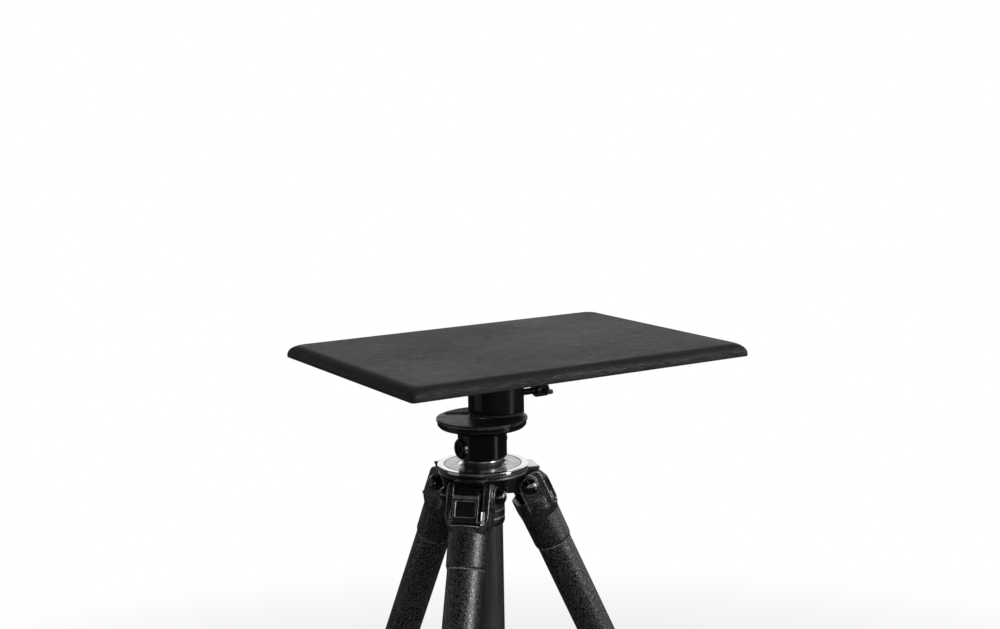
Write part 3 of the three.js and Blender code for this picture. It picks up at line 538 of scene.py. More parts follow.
def scuffed_disc_and_sheen():
    """The platform's enamel: dulled by what is set down on its top, rubbed through to the metal along
    its rim and glossy at its side, with painted light on its top: a pale painted highlight band
    beside the pad and a painted sheen that fades from it toward the front."""
    m = Surface("scuffed_disc_and_sheen", 0.45)
    _, flat = from_axis(m)
    inputs = {"Vector": flat, "Angle": -PAD_TURN}
    turn = m.new("VectorRotate", inputs, rotation_type="Z_AXIS")
    by_chord = turn.outputs["Vector"]
    away = m.parts(by_chord)["Y"]
    along = m.noise(1, 4, 0.65, m.stretched(60, 900, 0, by_chord))
    scuffs = m.noise(170, 5, 0.65)
    smears = m.noise(45, 4, 0.6)
    disc_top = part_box("head_disc")[1].z
    top = m.steps(m.parts(m.place)["Z"], disc_top - 0.0004, disc_top - 0.0001)
    # Painted light on the top: a faint painted sheen that grows toward the pad, and in `bare` a pale painted
    # highlight band just in front of it, both broken into streaks; neither is dust nor bare metal.
    painted_sheen = m.times(m.steps(away, -0.024, 0), m.steps(along, 0.42, 0.6))
    bare = m.times(m.times(m.steps(away, -0.001, 0.006), top), m.steps(along, 0.3, 0.6, 0.4, 1))
    edges = m.rubbed(0.0009, 0.012, 0.08, smears, 0.34, 0.5)
    colour = m.mixed(m.times(painted_sheen, top), 0.002, 0.05)
    colour = m.mixed(bare, colour, 0.42)
    colour = m.mixed(edges, colour, 0.6)
    dull = m.times(m.steps(along, 0.34, 0.64, 0.12, 0.42), top)
    gloss = m.plus(m.steps(smears, 0.3, 0.7, 0.14, 0.22), dull)
    return m.done(
        colour, gloss, m.bump(m.plus(scuffs, along), 0.0001, 0.6), m.times(edges, 0.9))


def machined_casting():
    """The spider: painted like the other castings, with its top faces machined bare; at the front leg
    the bare metal and the worn edges are darkened, as painted shade."""
    m = Surface("machined_casting")
    patches, paint, relief = pebbly_paint(m)
    edges = m.rubbed(0.0015, 0.02, 0.12, patches, 0.34, 0.5)
    hook_top = PLATE_TOP + HOOK_TOP * MM
    radius, flat = from_axis(m)
    bare = m.times(
        m.steps(m.parts(m.place)["Z"], hook_top - 0.00022, hook_top - 0.0001),
        m.steps(radius, 0.0436, 0.044))
    bare = m.times(bare, m.steps(patches, 0.3, 0.42, 0.75, 1))
    front = m.vectors("DOT_PRODUCT", flat, FRONT_LEG)["Value"]
    # Painted shade: toward the front leg the bare metal and worn edges keep only about an eighth of their share,
    # which darkens that side.
    painted_front_shade = m.steps(front, 0.032, 0.036, 1, 0.12)
    worn = m.maths("MAXIMUM", edges, bare)
    colour = m.mixed(m.times(worn, painted_front_shade), paint, 0.62)
    gloss = m.maths("SUBTRACT", m.steps(patches, 0.3, 0.7, 0.26, 0.38), m.times(bare, 0.2))
    height = m.times(relief, m.maths("SUBTRACT", 1, bare))
    return m.done(colour, gloss, m.bump(height, 0.00016, 0.9), m.times(worn, 0.92))


def smeared(name, kind, smears, tones, gloss, relief, depth, spread=(0.3, 0.7)):
    """A metal or plastic under smears. `kind` is its specular level and metallic share, and
    each noise is (scale, detail, roughness)."""
    m = Surface(name, *kind)
    smears = m.noise(*smears)
    colour = m.mixed(m.steps(smears, *spread), *tones)
    return m.done(colour, m.steps(smears, 0.3, 0.7, *gloss), m.bump(m.noise(*relief), *depth))


def black_steel():
    m = Surface("black_steel", metallic=0.6)
    smears = m.noise(150, 4, 0.6)
    colour = m.mixed(m.rubbed(0.0005, 0.05, 0.25, smears, 0.35, 0.6), 0.012, 0.22)
    return m.done(colour, m.steps(smears, 0.3, 0.7, 0.25, 0.4), m.bump(smears, 0.00008, 0.4))


def black_rubber():
    m = Surface("black_rubber", 0.35)
    grain = m.noise(1800, 4, 0.7)
    dust = m.noise(70, 5, 0.65)
    colour = m.mixed(m.steps(dust, 0.45, 0.75), 0.011, 0.03)
    return m.done(colour, m.steps(grain, 0.3, 0.7, 0.6, 0.8), m.bump(grain, 0.00012, 0.6))


def friction_pad():
    """Cork and rubber crumbs, pressed flat."""
    m = Surface("friction_pad", 0.3)
    crumbs = m.cells(330)
    mottle = m.noise(190, 4, 0.65)
    colour = m.mixed(m.steps(mottle, 0.4, 0.6), 0.012, 0.15)
    colour = m.mixed(m.steps(crumbs, 0.5, 0.8), colour, 0.009)
    return m.done(colour, m.steps(mottle, 0.3, 0.7, 0.5, 0.75), m.bump(mottle, 0.0004, 0.7))


METAL = (0.5, 1)
MATERIALS = {make.__name__: make() for make in (
    painted_wood, black_enamel, black_casting, machined_casting, bare_aluminium, scuffed_disc_and_sheen,
    satin_column, black_steel, black_rubber, friction_pad)}
MATERIALS.update({
    "crackle_tube": hammered("crackle_tube", False),
    "hammered_casting": hammered("hammered_casting", True),
    "steel": smeared(
        "bright_steel", METAL, (90, 4, 0.6), (0.42, 0.62), (0.14, 0.26),
        (1400, 3, 0.6), (0.00005, 0.5)),
    "hinge_steel": smeared(
        "hinge_steel", METAL, (160, 4, 0.6), (0.09, 0.19), (0.08, 0.16),
        (1400, 3, 0.6), (0.00004, 0.5), (0.35, 0.65)),
    "black_nylon": smeared(
        "black_nylon", (0.45, 0), (60, 4, 0.6), (0.008, 0.016), (0.34, 0.5),
        (1100, 3, 0.6), (0.0001, 0.5)),
    "pale_nylon": smeared(
        "pale_nylon", (0.5, 0), (260, 4, 0.6), ((0.42, 0.4, 0.36), (0.72, 0.7, 0.66)),
        (0.3, 0.42), (260, 4, 0.6), (0.00005, 0.4), (0.3, 0.6))})
OWN_PAINT = {
    "column_tube": "satin_column", "head_disc": "scuffed_disc_and_sheen", "spider": "machined_casting",
    "column_bush": "pale_nylon", "receiver_end_ring": "black_rubber"}
OWN_PAINT.update({f"yoke_{k}": "hammered_casting" for k in LEGS})
OWN_PAINT.update({f"hinge_{part}_{k}": "hinge_steel" for part in ("bolt", "nut") for k in LEGS})


def paint_of(node):
    return MATERIALS[OWN_PAINT.get(node, SLOT_OF[node])]


for node_name, cad in frame["nodes"].items():
    cad.data.materials.clear()
    cad.data.materials.append(paint_of(node_name))


def put(node, shape, place, name=None, sharp=CREASE, material=None):
    """Shows a shape made in millimetres in the frame `place`."""
    name = name or f"{node}_skin"
    points, faces = shape
    mesh = bpy.data.meshes.new(name)
    mesh.from_pydata([place @ Vector(p) for p in points], [], faces)
    finish_piece(name, node, mesh, material or paint_of(node), sharp)


def put_mesh(node, mesh, place, sharp=None):
    """Shows a finished mesh, moved by `place`."""
    mesh.transform(place)
    finish_piece(f"{node}_skin", node, mesh, paint_of(node), sharp)


# Board and receiver

BOARD_CORNER = 4
BOARD_TOP_CORNER = 11
BOARD_EDGE_ROUND = 9.5
BOARD_BOTTOM_ROUND = 0.9
BOARD_CORNER_STEPS = 14
BOARD_ROUND_STEPS = 10
FLANGE_THICKNESS = 5
FLANGE_R = 49
RECEIVER_R = 26.95
RECEIVER_WALL = 2.5
WELD = 2.4
NUT_FLATS = 8
NUT_HEIGHT = 7
SCREW_HEAD = 4.2
SCREW_HEAD_DEPTH = 2.6
SCREW_SHANK = 2.1
SCREW_RECESS = 1.5


TUBE_MIDDLE = middle_of("receiver_end_ring")
TABLE = in_mm(TUBE_MIDDLE.x, TUBE_MIDDLE.y, PLATE_TOP)


def rounded_rectangle(width, depth, radius, height):
    points = []
    for corner, (sign_x, sign_y) in enumerate(((1, 1), (-1, 1), (-1, -1), (1, -1))):
        for step in range(BOARD_CORNER_STEPS + 1):
            angle = (corner + step / BOARD_CORNER_STEPS) * pi / 2
            x = sign_x * (width / 2 - radius) + radius * cos(angle)
            y = sign_y * (depth / 2 - radius) + radius * sin(angle)
            points.append((x, y, height))
    return points


def make_board():
    low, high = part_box("board")
    width, depth, thickness = (high - low) / MM
    middle = (low + high) / 2
    place = in_mm(middle.x, middle.y, low.z)
    growth = (BOARD_TOP_CORNER - BOARD_CORNER) / BOARD_EDGE_ROUND
    levels = []
    for step in range(4):
        angle = step / 3 * pi / 2
        inset = BOARD_BOTTOM_ROUND * (1 - sin(angle))
        levels.append((inset, BOARD_CORNER - inset, BOARD_BOTTOM_ROUND * (1 - cos(angle))))
    for step in range(BOARD_ROUND_STEPS + 1):
        angle = step / BOARD_ROUND_STEPS * pi / 2
        inset = BOARD_EDGE_ROUND * (1 - cos(angle))
        height = thickness - BOARD_EDGE_ROUND * (1 - sin(angle))
        levels.append((inset, BOARD_CORNER + growth * inset, height))
    rings = [
        rounded_rectangle(width - 2 * inset, depth - 2 * inset, corner, height)
        for inset, corner, height in levels]
    put("board", skinned(rings), place)


def make_receiver():
    under_board = heights("board")[0]
    low, top = heights("receiver")
    flange_low = under_board - FLANGE_THICKNESS
    inner = RECEIVER_R - RECEIVER_WALL
    put("receiver", turned([
        (0, flange_low), (inner, flange_low, 1), (inner, low, 0.4), (RECEIVER_R, low, 0.6),
        (RECEIVER_R, flange_low, WELD), (FLANGE_R, flange_low, 1),
        (FLANGE_R, top, 0.6), (0, top)], FINE), TABLE)
    ring_low, ring_top = heights("receiver_end_ring")
    put("receiver_end_ring", holed([
        (inner, ring_low, 0.3), (RECEIVER_R - 0.3, ring_low, 0.1),
        (RECEIVER_R, ring_low + 0.3, 0.1),
        (RECEIVER_R, ring_top, 0.2), (inner, ring_top, 0.1)]), TABLE)
    nut = turned([
        (0, 0), (NUT_FLATS, 0, 0.8), (NUT_FLATS, NUT_HEIGHT, 0.8), (0, NUT_HEIGHT)], 6)
    height = mm_above_plate(JOINTS["wing_screw_turn"]["pos_m"][2])
    nut = moved(moved(nut, ALONG_X), (inner - NUT_HEIGHT, 0, height))
    put("receiver", nut, TABLE, "receiver_nut_skin")
    for number in (1, 2, 3, 4):
        name = f"flange_screw_{number}"
        middle = middle_of(name)
        low, top = heights(name)
        place = in_mm(middle.x, middle.y, PLATE_TOP)
        put(name, turned([
            (0, low + 1.6), (SCREW_RECESS, low + 1.4, 0.1), (SCREW_RECESS, low + 0.1, 0.2),
            (SCREW_HEAD, low, 0.3), (SCREW_SHANK, low + SCREW_HEAD_DEPTH), (SCREW_SHANK, top),
            (0, top)], 32), place)


# Wing screw

CLAMP = in_mm(AXIS.x, AXIS.y, JOINTS["wing_screw_turn"]["pos_m"][2])
THREAD_PITCH = 1.25
THREAD_DEPTH = 0.65
THREAD_SIDES = 36
RINGS_EACH_TURN = 8
ROD_R = 3.3
WING_THICKNESS = 3.6
WING_TIP = 4.4
HUB_R = 6.6
HUB_LENGTH = 14.8


def span_from_axis(node):
    """Both ends of a piece of the clamp along X, in millimetres from the spigot's axis."""
    low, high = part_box(node)
    return (low.x - AXIS.x) / MM, (high.x - AXIS.x) / MM


def threaded(low, high):
    """The clamp's rod along Z with a helical thread, plain and tapered at both ends."""
    count = int((high - low) / THREAD_PITCH * RINGS_EACH_TURN)
    rings = []
    for ring in range(count + 1):
        z = low + (high - low) * ring / count
        fade = min(1, (z - low) / THREAD_PITCH, (high - z) / THREAD_PITCH)
        points = []
        for k in range(THREAD_SIDES):
            turn = (z / THREAD_PITCH - k / THREAD_SIDES) % 1
            wave = min(1, max(0, abs(turn - 0.5) * 3 - 0.25))
            r = ROD_R - THREAD_DEPTH * wave * fade - 0.5 * (1 - fade)
            angle = tau * k / THREAD_SIDES
            points.append((r * cos(angle), r * sin(angle), z))
        rings.append(points)
    return skinned(rings)


def make_clamp():
    start, end = span_from_axis("clamp_pad")
    put("clamp_pad", moved(turned([
        (0, start), (5, start, 0.8), (5, end, 0.5), (2.9, end, 0.2), (2.9, end - 1.6, 0.1),
        (0, end - 1.6)], 48), ALONG_X), CLAMP)
    tip, rod_end = span_from_axis("clamp_screw")
    put("clamp_screw", moved(turned([
        (0, tip), (2.6, tip, 0.4), (2.6, end + 0.4, 0.1), (ROD_R - 0.8, end + 0.4, 0.2),
        (ROD_R - 0.8, end + 1.5), (0, end + 1.5)], 48), ALONG_X), CLAMP, "clamp_tip_skin")
    put("clamp_screw", moved(threaded(end + 1, rod_end), ALONG_X), CLAMP, sharp=50)
    make_wing_knob()


def make_wing_knob():
    hub_start = span_from_axis("wing_knob")[0]
    hub_end = hub_start + HUB_LENGTH
    low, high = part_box("wing_knob")
    reach = (high.y - low.y) / MM / 2
    hub = moved(turned([
        (0, hub_start), (HUB_R - 1, hub_start, 0.6), (HUB_R, hub_start + 1.5, 0.8),
        (HUB_R, hub_end - 1.5, 0.8), (HUB_R - 1.6, hub_end, 1), (0, hub_end)], 64),
        ALONG_X)
    outline = (
        arc(0, reach - WING_TIP, WING_TIP, -10, 190) + arc(0, WING_TIP - reach, WING_TIP, 170, 370))
    wings = extruded(outline, -WING_THICKNESS / 2, WING_THICKNESS / 2)
    wings = moved(wings, Matrix.Rotation(pi / 2, 4, "X"))
    wings = moved(wings, ((hub_start + hub_end) / 2 + 1.2, 0, 0))
    mesh = combined(hub, ("add", wings))
    put_mesh("wing_knob", cast(mesh, 0.00032, 5), Matrix.Translation(CLAMP.translation))


# Head of the column

SPIGOT_R = 8
SPIGOT_GROOVE = 6.6
SPIGOT_FOOT = 12
DISC_R = 43.9
DISC_UNDER_R = 40.5
PAD_R = 38.6
PAD_CHORD = 11.5
NECK_R = 23.6
NECK_FLARE = 4.2
NECK_BOSS_CHAMFER = 1.6
COLUMN_R = 18.5
COLUMN_WALL = 2.2
# Bright ring under the neck
RING_R = 18.76
RING_INNER = 18.3
RING_LOW = 3.7
RING_TOP = 5


def make_head():
    low, top = heights("spigot")
    put("spigot", turned([
        (0, low), (SPIGOT_FOOT, low, 0.2), (SPIGOT_FOOT, low + 0.9, 0.3),
        (SPIGOT_R, low + 0.9, 0.3), (SPIGOT_R, top - 19.4, 0.3),
        (SPIGOT_GROOVE, top - 18, 0.4), (SPIGOT_GROOVE, top - 9, 0.4),
        (SPIGOT_R, top - 7.6, 0.3), (SPIGOT_R, top - 1.2, 0.3),
        (SPIGOT_R - 1.2, top, 0.3), (0, top)]), STAND)
    low, top = heights("head_disc")
    put("head_disc", turned([
        (0, low), (DISC_UNDER_R, low, 0.8), (DISC_R - 1.2, low + 2.3, 0.8),
        (DISC_R - 1.2, top - 2.5, 0.25), (DISC_R, top - 2.3, 0.35),
        (DISC_R, top - 0.7, 0.5), (DISC_R - 0.8, top, 0.5), (0, top)], FINE), STAND)
    make_pad()
    make_neck()
    low, top = heights("column_tube")
    put("column_tube", tube(COLUMN_R, COLUMN_R - COLUMN_WALL, low, top, FINE), STAND)
    put("column_tube", holed([
        (RING_INNER, RING_LOW), (RING_R, RING_LOW, 0.2), (RING_R, RING_TOP, 0.2),
        (RING_INNER, RING_TOP)]),
        STAND, "column_ring_skin", material=MATERIALS["steel"])
    low, top = heights("column_cap")
    put("column_cap", turned([
        (0, low + 0.8), (9, low + 0.8, 0.4), (9.6, low, 0.4), (COLUMN_R - 1.3, low, 1),
        (COLUMN_R, low + 1.3, 1), (COLUMN_R, low + 4, 0.3), (15.9, low + 4),
        (15.9, top, 0.5), (0, top)]), STAND)


def make_pad():
    low, top = heights("head_pad")

    def outline(inset, height):
        radius, chord = PAD_R - inset, PAD_CHORD + inset
        start = asin(chord / radius)
        steps = 72
        angles = [start + (pi - 2 * start) * k / steps for k in range(steps + 1)]
        return [
            (radius * cos(a + PAD_TURN), radius * sin(a + PAD_TURN), height)
            for a in angles]

    rings = [outline(0, low), outline(0, top - 0.4), outline(0.12, top - 0.12), outline(0.4, top)]
    hole = rod(12.3, low - 2, top + 2, 64)
    put_mesh("head_pad", combined(skinned(rings), ("cut", hole)), STAND, CREASE)


# Name, radius, reach from the column's axis, height over the neck's foot, screw radius, side
NECK_BOSSES = (("left", 10.1, 26.4, 11.1, 6.2, -1), ("right", 6.4, 25.4, 16, 3.6, 1))


def make_neck():
    low, top = heights("neck")
    body = turned([
        (0, low + 18.3), (18.8, low + 18.3), (18.8, low, 0.3), (NECK_R - 1.5, low, 0.7),
        (NECK_R, low + 1.8, 1), (NECK_R, top - 5, 3),
        (NECK_R + NECK_FLARE, top - 0.6, 0.3), (NECK_R + NECK_FLARE, top, 0.2), (0, top)], FINE)
    steps = []
    for label, radius, reach, height, screw_r, side in NECK_BOSSES:
        side_way = Matrix.Scale(side, 4, (1, 0, 0))
        way = Matrix.Translation((0, 0, low + height)) @ side_way @ ALONG_X
        boss = turned([
            (0, 20.9), (radius, 20.9), (radius, reach - NECK_BOSS_CHAMFER, 0.8),
            (radius - NECK_BOSS_CHAMFER, reach, 0.8), (0, reach)])
        bore = screw_r + 0.3
        seat = turned([
            (0, 10), (bore, 10), (bore, reach - 0.5), (bore + 0.7, reach + 0.4),
            (bore + 0.7, reach + 3), (0, reach + 3)], 64)
        steps += [("add", moved(boss, way)), ("cut", moved(seat, way))]
        face = reach - 1.6
        screw = turned([(0, 18.8), (screw_r, 18.8), (screw_r, face, 0.5), (0, face)], 64)
        key = screw_r * 0.55
        socket = turned([(0, face - 3.4), (key, face - 3.4), (key, face + 2), (0, face + 2)], 6)
        mesh = combined(moved(screw, way), ("cut", moved(socket, way)))
        put_mesh(f"neck_screw_{label}", mesh, STAND, 30)
    put_mesh("neck", combined(body, *steps), STAND, 30)


# Spider

PLATE_R = 43.7
PLATE_HOLE = 21.4
PLATE_HOLE_BEVEL = 2.4
GROOVE_R = 37
FLANGE_RIM = 43.1
SLEEVE_R = 20.6
SLEEVE_LENGTH = 40
SPIDER_FLANGE = 5.6
SLIDE_GAP = 0.3
HINGE_R = 39.65
HINGE_DROP = 21.6
BOLT_HOLE = 4.3
LUG_R = 10.6
LUG_WIDTH = 28.4
LUG_ROOT = 19.7
HOOK_REACH = 13.6
TOOTH_HALF_WIDTH = 9
TOOTH_LOW = -4.27
SPREAD = radians(24.2)
LEG_BEARINGS = (-135, -15, 105)


def make_top_plate():
    low = heights("top_plate")[0]
    put("top_plate", holed([
        (PLATE_HOLE, low, 0.3), (PLATE_R, low, 0.3), (PLATE_R, -0.6, 0.3),
        (PLATE_R - 0.6, 0, 0.3), (GROOVE_R + 0.6, 0, 0.15), (GROOVE_R + 0.35, -0.5, 0.1),
        (GROOVE_R - 0.35, -0.5, 0.1), (GROOVE_R - 0.6, -0.05, 0.15),
        (PLATE_HOLE + PLATE_HOLE_BEVEL, -0.05, 0.25), (PLATE_HOLE, -PLATE_HOLE_BEVEL, 0.2)]), STAND)
    low, top = heights("column_bush")
    bore = COLUMN_R + SLIDE_GAP
    put("column_bush", holed([
        (bore, low, 0.3), (bore + 2.3, low, 0.3), (bore + 2.3, top - 1.2, 0.4),
        (bore + 1.1, top, 0.3), (bore + 0.3, top, 0.2), (bore, top - 0.4, 0.2)]), STAND)
    low, top = heights("column_lock_collar")
    middle = (low + top) / 2
    put("column_lock_collar", holed([
        (bore, low, 0.4), (19.3, low, 0.4), (SLEEVE_R, low + 3.2, 1.2),
        (SLEEVE_R, middle - 0.8, 0.3), (SLEEVE_R - 0.7, middle, 0.3),
        (SLEEVE_R, middle + 0.8, 0.3), (SLEEVE_R, top, 0.5), (bore, top, 0.3)]), STAND)


def from_hinge(outward, up):
    """A point of the leg's frame, as distance from the column's axis and height over the plate."""
    return (
        HINGE_R + outward * cos(SPREAD) - up * sin(SPREAD),
        -HINGE_DROP + outward * sin(SPREAD) + up * cos(SPREAD))


def make_spider():
    top = heights("spider")[1]
    sleeve_low = top - SLEEVE_LENGTH
    flange_low = top - SPIDER_FLANGE
    bore = COLUMN_R + SLIDE_GAP
    body = holed([
        (bore, sleeve_low, 0.3), (SLEEVE_R, sleeve_low, 0.5),
        (SLEEVE_R, -HINGE_DROP, 4), (27, flange_low - 5, 4), (FLANGE_RIM - 1.9, flange_low, 0.8),
        (FLANGE_RIM, flange_low + 1, 0.6), (FLANGE_RIM, flange_low + 1.9, 0.3),
        (FLANGE_RIM - 0.9, flange_low + 2.4, 0.2), (FLANGE_RIM - 0.9, flange_low + 3.3, 0.2),
        (FLANGE_RIM, flange_low + 3.8, 0.3), (FLANGE_RIM, top, 0.4), (bore, top, 0.3)])
    low = -HINGE_DROP - LUG_R
    lug = extruded(
        [(LUG_ROOT, low + 3), (HINGE_R - 13.6, low + 3), (HINGE_R - 6, low + 1)]
        + arc(HINGE_R, -HINGE_DROP, LUG_R, -90, 0, 24)
        + [from_hinge(LUG_R, 1.5), (HINGE_R + 11, -10),
           (HINGE_R + HOOK_REACH, -6.4), (HINGE_R + HOOK_REACH, HOOK_TOP), (LUG_ROOT, HOOK_TOP)],
        -LUG_WIDTH / 2, LUG_WIDTH / 2)
    tooth = extruded([
        from_hinge(LUG_R / 2, TOOTH_LOW), from_hinge(LUG_R + 1, TOOTH_LOW),
        from_hinge(LUG_R + 4, -3.5), from_hinge(LUG_R + 4, 1.5),
        from_hinge(LUG_R / 2, LUG_R - 2)], -TOOTH_HALF_WIDTH, TOOTH_HALF_WIDTH)
    hole = moved(moved(rod(BOLT_HOLE, -20, 20, 32, 0), ALONG_Y), (HINGE_R, 0, -HINGE_DROP))
    turns = [Matrix.Rotation(radians(bearing), 4, "Z") for bearing in LEG_BEARINGS]
    mesh = combined(
        body, *[("add", moved(shape, turn)) for turn in turns for shape in (lug, tooth)],
        ("cut", rod(bore, sleeve_low - 5, top + 5, FINE, 0)),
        *[("cut", moved(hole, turn)) for turn in turns])
    put_mesh("spider", cast(mesh, 0.00055, 3), Matrix.Translation(STAND.translation))


# Legs

EAR_INNER = 14.5
EAR_OUTER = 20.5
EAR_BOSS = 9.5
BOSS_FACE = 23.5
LEG_OFFSET = 2.3
LEG_SHIFT = (LEG_OFFSET, 0, 0)
EAR_REAR = 10.2
EAR_FRONT = 15.5
EAR_TOP = 10
EAR_ROUND = 6
SOCKET_R = 19
SOCKET_END_R = 18.6
SOCKET_END = 71
CUP_R = 21.8
CUP_FLOOR = 17
CUP_RIM = 31
CUP_SHOULDER = 37
ENVELOPE_R = 24.4
UPPER_R = 17.2
UPPER_INNER = 15.7
MIDDLE_R = 14
LOWER_R = 11.6
# Name, bore, radius, radius of the guide in the tube above, and both ends below the hinge
INNER_TUBES = (
    ("middle_tube", 12.6, MIDDLE_R, 15.4, 338, 798),
    ("lower_tube", 10.3, LOWER_R, 12.3, 618, 1058))
GUIDE_LENGTH = 32
FLUTED_SIDES = 216
FLUTES = 36
FLUTE_DEPTH = 0.9

# Angle stop, in the leg's frame
STOP_PIN = (18.9, -27)
STOP_PIN_R = 1.6
STOP_EYE = 3.2
STOP_FACE = 22.4
STOP_BACK = 17.4
STOP_NOSE = 11.6
STOP_TOP = -2.4
STOP_GROOVES = (-6.2, -4.6)
STOP_HALF_WIDTH = 12.1


def yoke_mesh():
    outline = (
        [(-EAR_REAR, -CUP_SHOULDER), (EAR_FRONT, -CUP_SHOULDER)]
        + arc(EAR_FRONT - EAR_ROUND, EAR_TOP - EAR_ROUND, EAR_ROUND, 0, 90, 10)
        + arc(EAR_TOP - EAR_REAR, 0, EAR_TOP, 90, 180, 16))
    ears = extruded(outline, -EAR_OUTER, EAR_OUTER)
    cup = moved(turned([
        (0, -SOCKET_END), (SOCKET_END_R - 1.1, -SOCKET_END, 0.3),
        (SOCKET_END_R, -SOCKET_END + 3.6, 0.5), (SOCKET_R, -CUP_SHOULDER, 3),
        (CUP_R, -CUP_RIM, 3), (CUP_R, -CUP_FLOOR, 0.5), (0, -CUP_FLOOR)], FINE),
        LEG_SHIFT)
    envelope = moved(turned([
        (0, -SOCKET_END - 1), (SOCKET_END_R + 0.5, -SOCKET_END - 1),
        (SOCKET_R, -CUP_SHOULDER, 3), (ENVELOPE_R, -23.5, 3),
        (ENVELOPE_R, 20), (0, 20)], FINE), LEG_SHIFT)
    bosses = moved(rod(EAR_BOSS, -BOSS_FACE, BOSS_FACE, 64, 0.6), ALONG_Y)
    rear_face = LEG_OFFSET - SOCKET_R
    cuts = [
        block((rear_face + 4.4, -EAR_INNER, -CUP_RIM), (40, EAR_INNER, 40)),
        block((-40, -EAR_INNER, -CUP_FLOOR), (40, EAR_INNER, 40)),
        block((-40, -40, -CUP_SHOULDER), (rear_face, 40, 40)),
        moved(rod(UPPER_R + 0.15, -SOCKET_END - 5, -CUP_RIM - 8, ROUND, 0), LEG_SHIFT),
        moved(rod(BOLT_HOLE, -40, 40, 32, 0), ALONG_Y),
    ]
    return cast(combined(
        cup, ("add", ears), ("keep", envelope), ("add", bosses), *[("cut", c) for c in cuts]),
        0.0005, 3)


def stop_mesh():
    """The angle stop: eye on the pin, recessed face, grooved bar on top and the nose behind."""
    outline = arc(*STOP_PIN, STOP_EYE, -180, 0, 12) + [(STOP_FACE, STOP_PIN[1] + STOP_EYE)]
    for groove in STOP_GROOVES:
        outline += [
            (STOP_FACE, groove - 0.55), (STOP_FACE - 0.5, groove), (STOP_FACE, groove + 0.55)]
    outline += arc(STOP_FACE - 1.4, STOP_TOP - 1.4, 1.4, 0, 90, 8)
    outline += [
        (18.1, STOP_TOP), (STOP_BACK, STOP_TOP - 0.7), (STOP_BACK, -3.8), (14.6, -3.8),
        (STOP_NOSE, -4.57), (STOP_NOSE, -6.8), (15.4, -9.8),
        (STOP_PIN[0] - STOP_EYE, STOP_PIN[1] + STOP_EYE)]
    lever = extruded(outline, -STOP_HALF_WIDTH, STOP_HALF_WIDTH)
    side = STOP_HALF_WIDTH - 2.4
    cuts = [
        block((STOP_FACE - 0.7, -side, -23.6), (STOP_FACE + 5, side, -8.6)),
        block((0, 8.5, -16), (STOP_BACK, 16, -3.5)),
        block((0, -16, -16), (STOP_BACK, -8.5, -3.5))]
    return cast(combined(lever, *[("cut", c) for c in cuts]), 0.00026, 2)


def make_hinge_pins(leg, place):
    face = BOSS_FACE + 0.3
    put(f"hinge_bolt_{leg}", moved(turned([
        (0, -face), (4, -face), (4, face), (7.5, face, 0.5), (7.5, face + 3.6, 1.2),
        (5.6, face + 7.2, 2), (2.6, face + 8.6, 1), (0, face + 8.6)], 64), ALONG_Y), place)
    nut = moved(turned([
        (0, face + 0.3), (7.6, face + 0.3, 0.4), (7.6, face + 3.4, 1), (5.4, face + 6.6, 1.8),
        (0, face + 8.6)], 64), ALONG_Y @ Matrix.Rotation(pi, 4, "X"))
    put(f"hinge_nut_{leg}", nut, place)
    pin = moved(rod(STOP_PIN_R, -15.9, 15.9, 32, 0.3), ALONG_Y)
    put(f"stop_pin_{leg}", moved(pin, (STOP_PIN[0], 0, STOP_PIN[1])), place)


def fluted(profile, low, high):
    """A turned shape whose radius waves round the axis between two heights, for grip."""
    points, faces = turned(profile, FLUTED_SIDES, closed=True)
    waved = []
    for x, y, z in points:
        fade = max(0, min(1, (z - low) / 1.5, (high - z) / 1.5))
        radius = hypot(x, y)
        if fade and radius > 1:
            wave = 0.5 - 0.5 * cos(atan2(y, x) * FLUTES)
            share = 1 - FLUTE_DEPTH * fade * wave ** 3 / radius
            x, y = x * share, y * share
        waved.append((x, y, z))
    return waved, faces


def make_collar(node, place, above, below, top):
    """A twist collar: grip flutes round the middle and a tapered nose."""
    outer, bore_top, bore_low = above + 5.2, above + 0.3, below + 0.3
    end = top + 48
    profile = [
        (bore_low, -end, 0.3), (bore_low + 3.4, -end, 0.8), (outer, -end + 10, 3)]
    profile += [(outer, -end + 12 + 2.5 * k) for k in range(12)]
    profile += [
        (outer, -top - 5, 2), (bore_top + 2.6, -top, 0.8), (bore_top, -top, 0.3),
        (bore_top, -top - 14.3), (bore_low, -top - 14.3)]
    shape = fluted(profile, -end + 11, -top - 6)
    put(node, moved(shape, LEG_SHIFT), place, sharp=50)


def make_leg(leg, yoke, stop):
    place = leg_place(leg)
    for node, mesh in ((f"yoke_{leg}", yoke), (f"angle_stop_{leg}", stop)):
        put_mesh(node, mesh.copy(), place @ Matrix.Scale(1 / MM, 4))
    make_hinge_pins(leg, place)
    put(f"upper_tube_{leg}", moved(tube(UPPER_R, UPPER_INNER, -500, -41), LEG_SHIFT), place)
    for name, bore, radius, guide, start, end in INNER_TUBES:
        step = -start - GUIDE_LENGTH
        shape = turned([
            (bore, -end, 0.2), (radius, -end, 0.2), (radius, step), (guide, step + guide - radius),
            (guide, -start, 0.3), (bore, -start, 0.2)], closed=True)
        put(f"{name}_{leg}", moved(shape, LEG_SHIFT), place)
    make_collar(f"upper_collar_{leg}", place, UPPER_R, MIDDLE_R, 486)
    make_collar(f"lower_collar_{leg}", place, MIDDLE_R, LOWER_R, 784)
    make_foot(leg, place)


